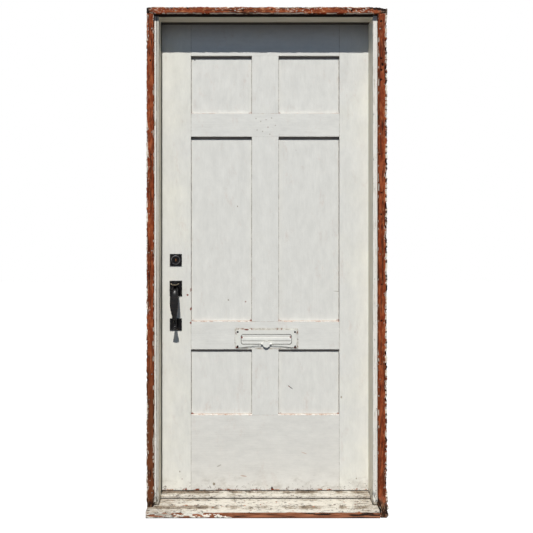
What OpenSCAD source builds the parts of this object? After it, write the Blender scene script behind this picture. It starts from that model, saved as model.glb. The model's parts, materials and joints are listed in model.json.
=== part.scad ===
// Six-panel front door hung in a rabbeted timber frame with a sill and outside casings.
// Millimetres, +Z up, +X to the right seen from outside, +Y towards the inside.
// The origin is the middle of the sill's underside, on the plane of the wall's outer face.

/* [Leaf] */
// Width of the leaf
leaf_w = 914; // [860:1:960]
// Height of the leaf
leaf_h = 2026; // [1960:1:2100]
// Thickness of the leaf
leaf_t = 45; // [42:0.5:50]
// Width of the two stiles
stile_w = 135; // [125:1:145]
// Width of the muntins between the panels
muntin_w = 115; // [90:1:130]
// Height of the top rail
top_rail_h = 144; // [120:1:170]
// Height of the frieze rail under the top panels
frieze_rail_h = 100; // [80:1:120]
// Height of the lock rail
lock_rail_h = 120; // [118:1:140]
// Height of the bottom rail
bottom_rail_h = 325; // [280:1:350]
// Height of the two top panels
top_panel_h = 250; // [200:1:300]
// Height of the two lower panels
lower_panel_h = 285; // [250:1:310]
// Depth of the panels behind the leaf's outer face
panel_recess = 10; // [7:0.5:12]
// Thickness of the panels
panel_t = 22; // [19:0.5:24]
// Depth of the panel grooves
groove_d = 10; // [8:0.5:12]
// Thickness of the tongues and tenons
tongue_t = 12; // [10:0.5:14]
// Length of the rail tenons
tenon_l = 55; // [45:1:58]

/* [Frame] */
// Thickness of the jambs at the stop
jamb_t = 32; // [30:0.5:40]
// Depth of the jambs through the wall
jamb_w = 120; // [110:1:160]
// Depth of the rabbet that the leaf closes into
rabbet_d = 13; // [10:0.5:16]
// Gap between the leaf and the rabbet
leaf_gap = 3; // [2:0.5:4]
// Gap under the leaf
bottom_gap = 4; // [3:0.5:8]
// Width of the outside casings
casing_w = 27; // [24:1:60]
// Thickness of the outside casings
casing_t = 19; // [16:0.5:25]
// Width of the jamb edge left bare beside the casing
jamb_edge_w = 18; // [8:0.5:20]

/* [Sill] */
// Height of the sill at the back
sill_h = 32; // [30:1:45]
// Height of the sill's nose
nose_h = 26; // [20:1:29]
// How far the nose stands in front of the wall
nose_d = 45; // [35:1:70]
// Height of the threshold on the sill
threshold_h = 14; // [10:0.5:20]
// Distance from the wall's face to the threshold
threshold_y = 40; // [30:1:55]

/* [Hinges] */
// Height of a hinge
hinge_h = 102; // [90:1:127]
// Width of a hinge plate on the wood
hinge_w = 38; // [34:0.5:40]
// Thickness of a hinge plate
hinge_t = 3; // [2:0.25:3.5]
// Radius of the knuckles
knuckle_r = 6.5; // [6:0.25:8]
// Radius of the hinge pins
hinge_pin_r = 3.2; // [2.5:0.1:4]

/* [Locks] */
// Distance from the leaf's edge to the middle of the locks
backset = 70; // [64:1:72]
// Height of the latch above the leaf's lower edge
latch_h = 882; // [860:1:950]
// Height of the deadbolt above the latch
deadbolt_rise = 115; // [105:1:150]
// Diameter of the bores through the leaf
cross_bore_d = 44; // [43:0.5:46]
// Diameter of the bores in from the leaf's edge
edge_bore_d = 24; // [23.5:0.5:25]
// Throw of the latch
latch_throw = 12; // [9:0.5:13]
// Throw of the deadbolt
deadbolt_throw = 18; // [14:0.5:19]
// Turn of the knob that works the latch, in degrees
knob_turn = 50; // [40:1:60]
// Turn of the thumb turn that works the deadbolt, in degrees
deadbolt_turn = 90; // [80:1:100]

/* [Handle] */
// Width of the upper handle plate
grip_plate_w = 54; // [50:1:60]
// Height of the upper handle plate
grip_plate_h = 66; // [62:1:80]
// Side of the lower handle plate
foot_plate_w = 52; // [44:1:60]
// Thickness of the handle and deadbolt plates
plate_t = 4; // [3:0.25:6]
// Distance between the ends of the grip
grip_span = 154; // [145:1:180]
// Reach of the grip's middle line from the leaf
grip_reach = 53; // [46:1:60]
// Width of the grip at its widest
grip_w = 36; // [28:1:40]
// Thickness of the grip at its thickest
grip_t = 18; // [14:0.5:20]
// Side of the deadbolt plate
deadbolt_plate_w = 52; // [50:1:64]
// Diameter of the deadbolt collar
collar_d = 43; // [40:0.5:48]
// Diameter of the inside knob
knob_d = 54; // [46:1:60]

/* [Mail slot] */
// Width of the mail plate
mail_w = 272; // [262:1:290]
// Height of the mail plate
mail_h = 86; // [82:0.5:94]
// Thickness of the mail plates
mail_t = 4; // [3.5:0.25:5]
// Width of the mail plate beside the flap
mail_side_w = 27; // [24:0.5:34]
// Height of the mail plate above the flap
mail_head_h = 25; // [22:0.5:28]
// Height of the mail plate under the flap
mail_foot_h = 19; // [17:0.5:24]
// Distance of the mail plate from the middle of the leaf
mail_x = 5; // [-20:1:20]

/* [Hidden] */
$fn = 48;

// Colours
paint_c = "#dddcd0";
raw_c = "#8a4a32";
jamb_c = "#d3cec0";
iron_c = "#2b2a2b";
steel_c = "#8d8f92";
brass_c = "#b08a4a";

// Clearances, and the overrun of the cuts
wood_fit = 0.2;
panel_gap = 0.5;
tongue_gap = 1;
run_fit = 0.05;
move_gap = 0.4;
screw_fit = 0.1;
over = 5;

// Places of the leaf
leaf_half = leaf_w / 2;
leaf_front = jamb_w - leaf_t;
leaf_back = jamb_w;
leaf_mid = leaf_front + leaf_t / 2;
leaf_bottom = sill_h + threshold_h + bottom_gap;
leaf_top = leaf_bottom + leaf_h;
leaf_y = [leaf_front, leaf_back];
leaf_z = [leaf_bottom, leaf_top];
stile_in = leaf_half - stile_w;
muntin_half = muntin_w / 2;

// Heights of the rails and panels, from the bottom up
bottom_rail_z = [leaf_bottom, leaf_bottom + bottom_rail_h];
lower_panel_z = [bottom_rail_z[1], bottom_rail_z[1] + lower_panel_h];
lock_rail_z = [lower_panel_z[1], lower_panel_z[1] + lock_rail_h];
top_rail_z = [leaf_top - top_rail_h, leaf_top];
top_panel_z = [top_rail_z[0] - top_panel_h, top_rail_z[0]];
frieze_rail_z = [top_panel_z[0] - frieze_rail_h, top_panel_z[0]];
middle_panel_z = [lock_rail_z[1], frieze_rail_z[0]];
panel_x = [muntin_half, stile_in];

// Depths of the panels and their tongues
panel_y = [leaf_front + panel_recess, leaf_front + panel_recess + panel_t];
tongue_y = around(leaf_mid, tongue_t);
groove_y = grow(tongue_y, wood_fit);
tongue_l = groove_d - tongue_gap;
haunch_h = 30;
bottom_tenon_z = [bottom_rail_z[0] + haunch_h, bottom_rail_z[1] - groove_d];
lock_tenon_z = grow(lock_rail_z, -groove_d);
frieze_tenon_z = grow(frieze_rail_z, -groove_d);
top_tenon_z = [top_rail_z[0] + groove_d, top_rail_z[1] - haunch_h];
tenon_zs = [bottom_tenon_z, lock_tenon_z, frieze_tenon_z, top_tenon_z];

// Places of the frame
stop_gap = 0.5;
stop_d = leaf_front - stop_gap;
rabbet_x = leaf_half + leaf_gap;
stop_x = rabbet_x - rabbet_d;
jamb_back = stop_x + jamb_t;
head_rabbet = leaf_top + leaf_gap;
head_stop = head_rabbet - rabbet_d;
head_top = head_stop + jamb_t;
casing_in = stop_x + jamb_edge_w;
casing_out = casing_in + casing_w;
head_casing_z = [head_top - casing_w, head_top];
casing_edge_w = 2;
casing_foot_h = 64;

// Sill and threshold details
nose_r = 4;
drip_r = 4;
drip_in = 12;
threshold_r = 5;
end_gap = 0.3;

// Nails through the casings, as shares of the casing's length
nail_r = 1.3;
nail_head_r = 2.6;
nail_head_t = 1.2;
nail_l = 45;
nail_shares = [0.03, 0.27, 0.52, 0.76, 0.97];
head_nail_shares = [0.12, 0.37, 0.63, 0.88];
nail_x = (casing_in + jamb_back) / 2;

// Screws of the hinges, strikes and lock cases
screw_r = 2;
screw_head_r = 4;
screw_head_h = 2;
screw_l = 17;

// Hinges
hinge_x = leaf_half + leaf_gap / 2;
hinge_y = leaf_back + knuckle_r + stop_gap;
hinge_head_h = 180;
hinge_foot_h = 250;
hinge_zs = [leaf_bottom + hinge_foot_h, (leaf_bottom + leaf_top) / 2, leaf_top - hinge_head_h];
knuckle_count = 5;
knuckle_pitch = hinge_h / knuckle_count;
pin_head_r = 4.6;
pin_head_h = 3;
hinge_screw_y_shares = [0.3, 0.7];
hinge_screw_z_shares = [0.37, 0.18];

// Locks
lock_x = -(leaf_half - backset);
latch_z = leaf_bottom + latch_h;
deadbolt_z = latch_z + deadbolt_rise;
case_fit = 0.3;
case_wall = 1.7;
case_d = edge_bore_d - 2 * case_fit;
case_l = 42;
face_t = 3;
face_w = 25;
face_h = 57;
face_screw_rise = 22;
bolt_y_w = 11;
bolt_z_h = 15;
bolt_l = 32;
bolt_bevel = 9;
bolt_flat = 2;
tail_w = 8;
crank_t = 3;
crank_gap = 1;
crank_pin_r = 1.5;
crank_slack = 0.7;
crank_wall = 2;
crank_hub_r = 7;
crank_end_r = 3.5;
spindle_r = 4;
latch_pin_r = latch_throw / 2 / sin(knob_turn / 2);
deadbolt_pin_r = deadbolt_throw / 2 / sin(deadbolt_turn / 2);
crank_y = [leaf_mid + tail_w / 2 + crank_gap, leaf_mid + tail_w / 2 + crank_gap + crank_t];

// Strikes
strike_t = 2.5;
strike_w = 36;
strike_slack = 1.5;
lip_h = 30;
lip_out = 2;

// Roses inside
rose_r = 31;
rose_t = 7;
rose_edge = 2.5;
trim_screw_x = 15;
trim_screw_z = 11;
trim_screw_r = 2;
trim_head_r = 3.6;
trim_head_h = 2.4;
boss_r = 3;
boss_l = 7;

// Knob profile, as shares of the knob's radius out from the axis and along it from the rose
knob_r = knob_d / 2;
knob_l = 58;
knob_profile_shares = [[0.6, 0], [0.6, 0.05], [0.36, 0.14], [0.34, 0.28], [0.5, 0.36], [0.8, 0.44],
    [0.97, 0.56], [1, 0.68], [0.95, 0.8], [0.78, 0.91], [0.5, 0.98], [0, 1]];

// Thumb turn inside
turn_w = 12;
turn_l = 40;
turn_d = 20;
turn_hub_r = 11;
turn_hub_l = 7;

// Deadbolt outside
collar_h = 4;
collar_wall = 5.5;
collar_taper = 1.5;
collar_lip = 2;
cylinder_sink = 3;
cylinder_body_r = 12.5;
cylinder_body_l = 15;
plug_r = 6.4;
plug_tail_l = 2;
key_w = 2.2;
key_h = 8.5;
key_d = 14;
plate_ease = 1.5;

// Handle set outside
grip_plate_drop = 8;
grip_plate_z = latch_z - grip_plate_drop;
grip_top_drop = 2;
grip_top_z = grip_plate_z - grip_top_drop;
grip_foot_z = grip_top_z - grip_span;
post_r = 6.5;
grip_bolt_r = 2.5;
grip_bolt_head_r = 7;
grip_bolt_head_t = 3;
grip_bolt_grip = 8;
grip_sides = 14;
grip_steps = 26;
// Middle line of the grip: reach share, fall share, width share and thickness share from the top down
grip_shares = [[0, 0, 0.62, 0.9], [0.36, -0.02, 0.72, 0.95], [0.67, 0.03, 0.84, 1],
    [0.865, 0.13, 0.94, 0.97], [0.968, 0.25, 1, 0.88], [1, 0.37, 0.99, 0.79], [0.957, 0.51, 0.9, 0.71],
    [0.838, 0.65, 0.7, 0.66], [0.654, 0.78, 0.5, 0.62], [0.46, 0.88, 0.41, 0.6], [0.35, 0.97, 0.36, 0.56],
    [0.44, 1.05, 0.42, 0.46], [0.66, 1.085, 0.64, 0.4], [0.84, 1.08, 0.72, 0.34], [0.93, 1.06, 0.5, 0.22]];
// Part of a step over which the line's direction is read
grip_step_share = 0.01;

// Thumbpiece
thumb_rise = 15;
thumb_z = latch_z + thumb_rise;
thumb_in = 4;
thumb_y = leaf_front + thumb_in;
thumb_droop = 12;
thumb_neck_w = 13;
thumb_t = 4;
thumb_pad_r = 17;
thumb_reach = 34;
thumb_tail_l = 8;
dish_r = 30;
trunnion_r = 1.5;
lug_t = 3;
lug_h = 2.5;
lug_x = thumb_neck_w / 2 + move_gap;
thumb_slot_up = 4.5;
thumb_slot_down = 6.5;

// Mail slot: places, outline and flap
mail_rise = 47;
mail_z = lock_rail_z[0] + mail_rise;
mail_edge_t = 1.6;
mail_edge_w = 5;
mail_waist_d = 6.5;
mail_waist_l = 60;
mail_arch_d = 8;
mail_ear_w = 28;
mail_arch_l = mail_w - 2 * mail_ear_w;
mail_screw_in = 12;
mail_screw_x = mail_w / 2 - mail_screw_in;
mail_screw_z = mail_h / 2 - mail_screw_in;
mail_screw_drop = 2.5;
mail_screw_r = 1.8;
mail_dome_r = 4.2;
mail_dome_t = 2;
mail_screw_l = 16;
flap_gap = 1;
flap_t = 3;
flap_corner_r = 12;
flap_shoulder = 5;
flap_shoulder_h = 12;
flap_pin_r = 1.1;
flap_barrel_r = 2.4;
flap_pin_in = 7;
flap_w = mail_w - 2 * mail_side_w;
flap_h = mail_h - mail_head_h - mail_foot_h;
flap_top = mail_z + mail_h / 2 - mail_head_h;
flap_z = [flap_top - flap_h, flap_top];
flap_pin_z = flap_top - flap_barrel_r;
flap_pin_y = leaf_front - mail_t / 2;
band_d = 1.2;
band_share = 0.535;
band_h = 17;
tab_top_w = 46;
tab_end_w = 30;
tab_h = 17;
tab_out = 6;
tab_t = 3;
slot_side_w = 6;
slot_low_h = 3;
slot_high_h = 5;
slot_z = [flap_z[0] + slot_low_h, flap_z[1] - slot_high_h];
slot_x = around(mail_x, flap_w - 2 * slot_side_w);
inner_t = 2.5;
inner_border = 26;

// An interval grown at both ends, mirrored about zero, or set around a middle
function grow(r, d) = [r[0] - d, r[1] + d];
function flip(r) = [-r[1], -r[0]];
function around(c, w) = [c - w / 2, c + w / 2];
function blend(a, b, t) = a + (b - a) * t;
// Radius of an arc from its chord and its rise
function arc_r(chord, rise) = (chord * chord / 4 + rise * rise) / (2 * rise);
// Height of the sill's upper face at a depth y in front of the threshold
function sill_top(y) = blend(nose_h, sill_h, (y + nose_d) / (threshold_y + nose_d));

// A block between intervals along X, Y and Z
module block(x, y, z) {
    translate([x[0], y[0], z[0]])
        cube([x[1] - x[0], y[1] - y[0], z[1] - z[0]]);
}

// Round bars along X, Y and Z
module bar_x(x, y, z, r) {
    translate([x[0], y, z])
        rotate([0, 90, 0])
            cylinder(h = x[1] - x[0], r = r);
}
module bar_y(x, y, z, r) {
    translate([x, y[0], z])
        rotate([-90, 0, 0])
            cylinder(h = y[1] - y[0], r = r);
}
module bar_z(x, y, z, r) {
    translate([x, y, z[0]])
        cylinder(h = z[1] - z[0], r = r);
}

// A section in Y and Z drawn out along X, and an outline in X and Z drawn out along Y
module along_x(x) {
    translate([x[0], 0, 0])
        rotate([90, 0, 90])
            linear_extrude(height = x[1] - x[0])
                children();
}
module along_y(y) {
    translate([0, y[1], 0])
        rotate([90, 0, 0])
            linear_extrude(height = y[1] - y[0])
                children();
}

// Profile of radius and length turned about an axis along Y that starts at y
module turned_y(x, y, z, inward) {
    translate([x, y, z])
        rotate([inward ? -90 : 90, 0, 0])
            rotate_extrude()
                children();
}

// Left-hand pieces are mirrored right-hand ones
module on_side(side) {
    mirror([side < 0 ? 1 : 0, 0, 0])
        children();
}

// Square plate with eased front edges, outward from the leaf
module eased_plate(x, z, t, ease) {
    face = leaf_front - t;
    block(x, [face + ease, leaf_front], z);
    block(grow(x, -ease), [face, leaf_front], grow(z, -ease));
}

// Section of the sill, from the wall's face towards the inside
module sill_section() {
    difference() {
        union() {
            polygon([[-nose_d, 0], [jamb_w, 0], [jamb_w, sill_h], [threshold_y, sill_h],
                [nose_r - nose_d, sill_top(nose_r - nose_d)], [-nose_d, nose_h - nose_r]]);
            translate([nose_r - nose_d, nose_h - nose_r])
                circle(r = nose_r);
        }
        translate([drip_in - nose_d, 0])
            circle(r = drip_r);
    }
}
module sill() {
    color(paint_c) {
        intersection() {
            along_x([-casing_out, casing_in])
                sill_section();
            block([-casing_out, casing_in], [-nose_d, 0], [0, sill_h]);
        }
        intersection() {
            along_x([-jamb_back, jamb_back])
                sill_section();
            block([-jamb_back, jamb_back], [0, jamb_w], [0, sill_h]);
        }
    }
}

// Section of the threshold, with a rounded front edge
module threshold_section() {
    union() {
        translate([threshold_y + threshold_r, sill_h])
            square([jamb_w - threshold_y - threshold_r, threshold_h]);
        translate([threshold_y, sill_h])
            square([threshold_r, threshold_h - threshold_r]);
        translate([threshold_y + threshold_r, sill_h + threshold_h - threshold_r])
            circle(r = threshold_r);
    }
}
module threshold() {
    color(paint_c)
        difference() {
            along_x(around(0, 2 * (rabbet_x - end_gap)))
                threshold_section();
            for (side = [-1, 1])
                on_side(side)
                    block([stop_x - end_gap, rabbet_x], [0, stop_d + end_gap], [0, leaf_bottom]);
        }
}

// Section of the head jamb, and the plan of a right-hand side jamb
module head_section() {
    polygon([[0, head_stop], [stop_d, head_stop], [stop_d, head_rabbet], [jamb_w, head_rabbet],
        [jamb_w, head_top], [0, head_top]]);
}
module head_jamb() {
    color(jamb_c)
        difference() {
            along_x([-jamb_back, jamb_back])
                head_section();
            head_nails(screw_fit);
        }
}
module side_jamb() {
    difference() {
        linear_extrude(height = head_top)
            polygon([[stop_x, 0], [jamb_back, 0], [jamb_back, jamb_w], [rabbet_x, jamb_w],
                [rabbet_x, stop_d], [stop_x, stop_d]]);
        along_x([0, jamb_back + over])
            head_section();
        along_x([0, jamb_back + over])
            sill_section();
    }
}
module hinge_jamb() {
    color(jamb_c)
        difference() {
            side_jamb();
            for (z = hinge_zs)
                block([rabbet_x - over, rabbet_x + hinge_t], [leaf_back - hinge_w, jamb_w + over],
                    around(z, hinge_h));
            jamb_hinge_screws(screw_fit);
            side_nails(casing_right_z, screw_fit);
        }
}
module latch_jamb() {
    color(jamb_c)
        difference() {
            on_side(-1)
                side_jamb();
            for (z = [latch_z, deadbolt_z])
                block([-rabbet_x - strike_t, -rabbet_x + over], around(leaf_mid, strike_w),
                    around(z, face_h));
            latch_lip(over);
            bolt_way(latch_z, latch_throw);
            bolt_way(deadbolt_z, jamb_t);
            strike_screws(screw_fit);
            on_side(-1)
                side_nails(casing_left_z, screw_fit);
        }
}

// Way of a bolt into the jamb, past the strike
module bolt_way(z, throw) {
    block([-rabbet_x - throw, -rabbet_x + over], around(leaf_mid, bolt_y_w + 2 * strike_slack),
        around(z, bolt_z_h + 2 * strike_slack));
}

// Casings: butted under the head, the left one on the sill's horn, the right one past the sill's end,
// with a foot block as deep as the nose
casing_left_z = [sill_top(-casing_t / 2), head_casing_z[0]];
casing_right_z = [0, head_casing_z[0]];
module casing_plan() {
    polygon([[casing_in, 0], [casing_in, casing_edge_w - casing_t], [casing_in + casing_edge_w, -casing_t],
        [casing_out - casing_edge_w, -casing_t], [casing_out, casing_edge_w - casing_t], [casing_out, 0]]);
}
module casing_left() {
    color(raw_c)
        difference() {
            on_side(-1)
                linear_extrude(height = casing_left_z[1])
                    casing_plan();
            along_x([-casing_out - over, 0])
                sill_section();
            on_side(-1)
                side_nails(casing_left_z, screw_fit);
        }
}
module casing_right() {
    color(raw_c)
        difference() {
            union() {
                linear_extrude(height = casing_right_z[1])
                    casing_plan();
                block([casing_in, casing_out], [-nose_d, 0], [0, casing_foot_h]);
            }
            side_nails(casing_right_z, screw_fit);
        }
}
module casing_head() {
    color(raw_c)
        difference() {
            along_x([-casing_out, casing_out])
                polygon([[0, head_casing_z[0]], [casing_edge_w - casing_t, head_casing_z[0]],
                    [-casing_t, head_casing_z[0] + casing_edge_w],
                    [-casing_t, head_casing_z[1] - casing_edge_w],
                    [casing_edge_w - casing_t, head_casing_z[1]], [0, head_casing_z[1]]]);
            head_nails(screw_fit);
        }
}

// A nail driven in from outside, and the nails of a side casing and of the head
module nail(x, z, fit) {
    bar_y(x, [-casing_t, nail_l - casing_t + fit], z, nail_r + fit);
    bar_y(x, [-casing_t, nail_head_t - casing_t + fit], z, nail_head_r + fit);
}
module side_nails(z, fit) {
    for (s = nail_shares)
        nail(nail_x, blend(z[0], z[1], s), fit);
}
module head_nails(fit) {
    for (s = head_nail_shares)
        nail(blend(-casing_out, casing_out, s), (head_casing_z[0] + head_casing_z[1]) / 2, fit);
}
module casing_nails() {
    color(steel_c) {
        side_nails(casing_right_z, 0);
        on_side(-1)
            side_nails(casing_left_z, 0);
        head_nails(0);
    }
}

// A countersunk screw whose head lies at x and whose shank runs along X, in the direction given
module screw_x(x, y, z, dir, fit) {
    translate([x, y, z])
        rotate([0, dir * 90, 0]) {
            cylinder(h = screw_l + fit, r = screw_r + fit);
            cylinder(h = screw_head_h + fit, r1 = screw_head_r + fit, r2 = screw_r + fit);
        }
}
module hinge_screws(x, dir, fit) {
    for (z = hinge_zs)
        for (i = [0, 1])
            for (s = [-1, 1])
                screw_x(x, leaf_back - hinge_w * hinge_screw_y_shares[i],
                    z + s * hinge_h * hinge_screw_z_shares[i], dir, fit);
}
module jamb_hinge_screws(fit) {
    hinge_screws(rabbet_x, 1, fit);
}
module leaf_hinge_screws(fit) {
    hinge_screws(leaf_half, -1, fit);
}
module strike_screws(fit) {
    for (z = [latch_z, deadbolt_z])
        for (s = [-1, 1])
            screw_x(-rabbet_x, leaf_mid, z + s * face_screw_rise, -1, fit);
}
module face_screws(fit) {
    for (z = [latch_z, deadbolt_z])
        for (s = [-1, 1])
            screw_x(-leaf_half, leaf_mid, z + s * face_screw_rise, 1, fit);
}
module frame_screws() {
    color(steel_c) {
        jamb_hinge_screws(0);
        strike_screws(0);
    }
}
module leaf_edge_screws() {
    color(steel_c) {
        leaf_hinge_screws(0);
        face_screws(0);
    }
}

// Strike plates let into the latch jamb, the latch's with a lip past the jamb's inner edge
module strike(z) {
    color(steel_c)
        difference() {
            block([-rabbet_x - strike_t, -rabbet_x], around(leaf_mid, strike_w), around(z, face_h));
            bolt_way(z, strike_t + over);
            strike_screws(screw_fit);
        }
}
module latch_lip(out) {
    block([-rabbet_x - strike_t, -rabbet_x], [leaf_mid, jamb_w + out], around(latch_z, lip_h));
}
module latch_strike() {
    strike(latch_z);
    color(steel_c)
        difference() {
            latch_lip(lip_out);
            bolt_way(latch_z, strike_t + over);
        }
}
module deadbolt_strike() {
    strike(deadbolt_z);
}

// One plate of a butt hinge: the jamb's plate has the odd knuckles, the leaf's the even ones
module hinge_plate(z, x, first) {
    low = z - hinge_h / 2;
    difference() {
        union() {
            block(x, [leaf_back - hinge_w, leaf_back], around(z, hinge_h));
            for (i = [first : 2 : knuckle_count - 1]) {
                span = grow([low + i * knuckle_pitch, low + (i + 1) * knuckle_pitch], -move_gap / 2);
                block(x, [leaf_back - hinge_t, hinge_y], span);
                bar_z(hinge_x, hinge_y, span, knuckle_r);
            }
        }
        bar_z(hinge_x, hinge_y, around(z, hinge_h + over), hinge_pin_r + run_fit);
        jamb_hinge_screws(screw_fit);
        leaf_hinge_screws(screw_fit);
    }
}
module jamb_plate(z) {
    color(steel_c)
        hinge_plate(z, [rabbet_x, rabbet_x + hinge_t], 0);
}
module leaf_plate(z) {
    color(steel_c)
        hinge_plate(z, [leaf_half - hinge_t, leaf_half], 1);
}
module hinge_jamb_plate_bottom() {
    jamb_plate(hinge_zs[0]);
}
module hinge_jamb_plate_middle() {
    jamb_plate(hinge_zs[1]);
}
module hinge_jamb_plate_top() {
    jamb_plate(hinge_zs[2]);
}
module hinge_leaf_plate_bottom() {
    leaf_plate(hinge_zs[0]);
}
module hinge_leaf_plate_middle() {
    leaf_plate(hinge_zs[1]);
}
module hinge_leaf_plate_top() {
    leaf_plate(hinge_zs[2]);
}
module hinge_pins() {
    color(steel_c)
        for (z = hinge_zs) {
            bar_z(hinge_x, hinge_y, around(z, hinge_h), hinge_pin_r);
            bar_z(hinge_x, hinge_y, [z + hinge_h / 2, z + hinge_h / 2 + pin_head_h], pin_head_r);
            bar_z(hinge_x, hinge_y, [z - hinge_h / 2 - pin_head_h, z - hinge_h / 2], pin_head_r);
        }
}

// A right-hand stile with its panel groove and mortises
module stile() {
    difference() {
        block([stile_in, leaf_half], leaf_y, leaf_z);
        block([stile_in - over, stile_in + groove_d], groove_y,
            [lower_panel_z[0] - groove_d, top_panel_z[1] + groove_d]);
        for (z = tenon_zs)
            block([stile_in - over, stile_in + tenon_l + tongue_gap], groove_y, grow(z, wood_fit));
    }
}
module hinge_stile() {
    color(paint_c)
        difference() {
            stile();
            for (z = hinge_zs)
                block([leaf_half - hinge_t, leaf_half + over], [leaf_back - hinge_w, leaf_back + over],
                    around(z, hinge_h));
            leaf_hinge_screws(screw_fit);
        }
}
module lock_stile() {
    color(paint_c)
        difference() {
            on_side(-1)
                stile();
            for (z = [latch_z, deadbolt_z]) {
                bar_y(lock_x, grow(leaf_y, over), z, cross_bore_d / 2);
                bar_x([-leaf_half - over, lock_x], leaf_mid, z, edge_bore_d / 2);
                block([-leaf_half - over, face_t - leaf_half], around(leaf_mid, face_w), around(z, face_h));
            }
            bar_y(lock_x, grow(leaf_y, over), grip_foot_z, grip_bolt_r + screw_fit);
            face_screws(screw_fit);
        }
}

// A rail between the stiles, tenoned at both ends and grooved for the panels
module rail(z, tenon_z, groove_below, groove_above) {
    difference() {
        union() {
            block([-stile_in, stile_in], leaf_y, z);
            block(around(0, 2 * (stile_in + tenon_l)), tongue_y, tenon_z);
        }
        if (groove_above)
            block([-stile_in - over, stile_in + over], groove_y, [z[1] - groove_d, z[1] + over]);
        if (groove_below)
            block([-stile_in - over, stile_in + over], groove_y, [z[0] - over, z[0] + groove_d]);
    }
}
module top_rail() {
    color(paint_c)
        rail(top_rail_z, top_tenon_z, true, false);
}
module frieze_rail() {
    color(paint_c)
        rail(frieze_rail_z, frieze_tenon_z, true, true);
}
module lock_rail() {
    color(paint_c)
        difference() {
            rail(lock_rail_z, lock_tenon_z, true, true);
            block(slot_x, grow(leaf_y, over), slot_z);
            mail_screw_set(screw_fit);
        }
}
module bottom_rail() {
    color(paint_c)
        rail(bottom_rail_z, bottom_tenon_z, false, true);
}

// A muntin between two rails, grooved on both sides, with stub tenons in the rails' grooves
module muntin(z) {
    difference() {
        block([-muntin_half, muntin_half], leaf_y, z);
        for (side = [-1, 1])
            on_side(side)
                block([muntin_half - groove_d, muntin_half + over], groove_y, grow(z, over));
    }
    block(grow([-muntin_half, muntin_half], -groove_d), tongue_y, grow(z, tongue_l));
}
module top_muntin() {
    color(paint_c)
        muntin(top_panel_z);
}
module middle_muntin() {
    color(paint_c)
        muntin(middle_panel_z);
}
module lower_muntin() {
    color(paint_c)
        muntin(lower_panel_z);
}

// A flat panel with a tongue all round
module panel(x, z) {
    color(paint_c) {
        block(grow(x, -panel_gap), panel_y, grow(z, -panel_gap));
        block(grow(x, tongue_l), tongue_y, grow(z, tongue_l));
    }
}
module panel_top_left() {
    panel(flip(panel_x), top_panel_z);
}
module panel_top_right() {
    panel(panel_x, top_panel_z);
}
module panel_middle_left() {
    panel(flip(panel_x), middle_panel_z);
}
module panel_middle_right() {
    panel(panel_x, middle_panel_z);
}
module panel_lower_left() {
    panel(flip(panel_x), lower_panel_z);
}
module panel_lower_right() {
    panel(panel_x, lower_panel_z);
}

// Lock case: a faced tube let into the leaf's edge
module lock_case(z) {
    color(steel_c)
        difference() {
            union() {
                block([-leaf_half, face_t - leaf_half], around(leaf_mid, face_w), around(z, face_h));
                bar_x([face_t - leaf_half, case_l - leaf_half], leaf_mid, z, case_d / 2);
            }
            bar_x([face_t - leaf_half, case_l - leaf_half + over], leaf_mid, z, case_d / 2 - case_wall);
            block(grow([-leaf_half, face_t - leaf_half], over), around(leaf_mid, bolt_y_w + 2 * move_gap),
                around(z, bolt_z_h + 2 * move_gap));
            face_screws(screw_fit);
        }
}
module latch_case() {
    lock_case(latch_z);
}
module deadbolt_case() {
    lock_case(deadbolt_z);
}

// Tail of a bolt: a bar to a fork that straddles the crank's pin, drawn back by half the throw
module bolt_tail(z, throw, pin_at) {
    fork_x = lock_x + throw / 2;
    half = crank_pin_r + crank_slack + crank_wall;
    way = 2 * (crank_pin_r + crank_slack);
    fork_low = z - pin_at - crank_pin_r;
    difference() {
        union() {
            block([bolt_l - leaf_half - over, fork_x + half], around(leaf_mid, tail_w), around(z, tail_w));
            block(around(fork_x, 2 * half), around(leaf_mid, tail_w), [fork_low, z]);
        }
        block(around(fork_x, way), around(leaf_mid, tail_w + over), [fork_low - over, z - tail_w / 2]);
    }
}
module latch_bolt() {
    color(brass_c) {
        translate([0, 0, latch_z - bolt_z_h / 2])
            linear_extrude(height = bolt_z_h)
                polygon([[bolt_l - leaf_half, leaf_mid - bolt_y_w / 2],
                    [bolt_l - leaf_half, leaf_mid + bolt_y_w / 2], [-leaf_half, leaf_mid + bolt_y_w / 2],
                    [-leaf_half, leaf_mid + bolt_y_w / 2 - bolt_flat],
                    [bolt_bevel - leaf_half, leaf_mid - bolt_y_w / 2]]);
        bolt_tail(latch_z, latch_throw, latch_pin_r);
    }
}
module deadbolt_bolt() {
    color(brass_c) {
        block([-leaf_half, bolt_l - leaf_half], around(leaf_mid, bolt_y_w), around(deadbolt_z, bolt_z_h));
        bolt_tail(deadbolt_z, deadbolt_throw, deadbolt_pin_r);
    }
}

// Spindle from the inside, with a crank whose pin stands in the bolt's fork
module spindle(z, pin_at, turn) {
    bar_y(lock_x, [crank_y[0], leaf_back + rose_t + move_gap + over], z, spindle_r);
    translate([lock_x, 0, z])
        rotate([0, -turn / 2, 0]) {
            bar_y(0, crank_y, 0, crank_hub_r);
            block(around(0, 2 * crank_end_r), crank_y, [-pin_at, 0]);
            bar_y(0, crank_y, -pin_at, crank_end_r);
            bar_y(0, [leaf_mid - tail_w / 2, crank_y[1]], -pin_at, crank_pin_r);
        }
}

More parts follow.
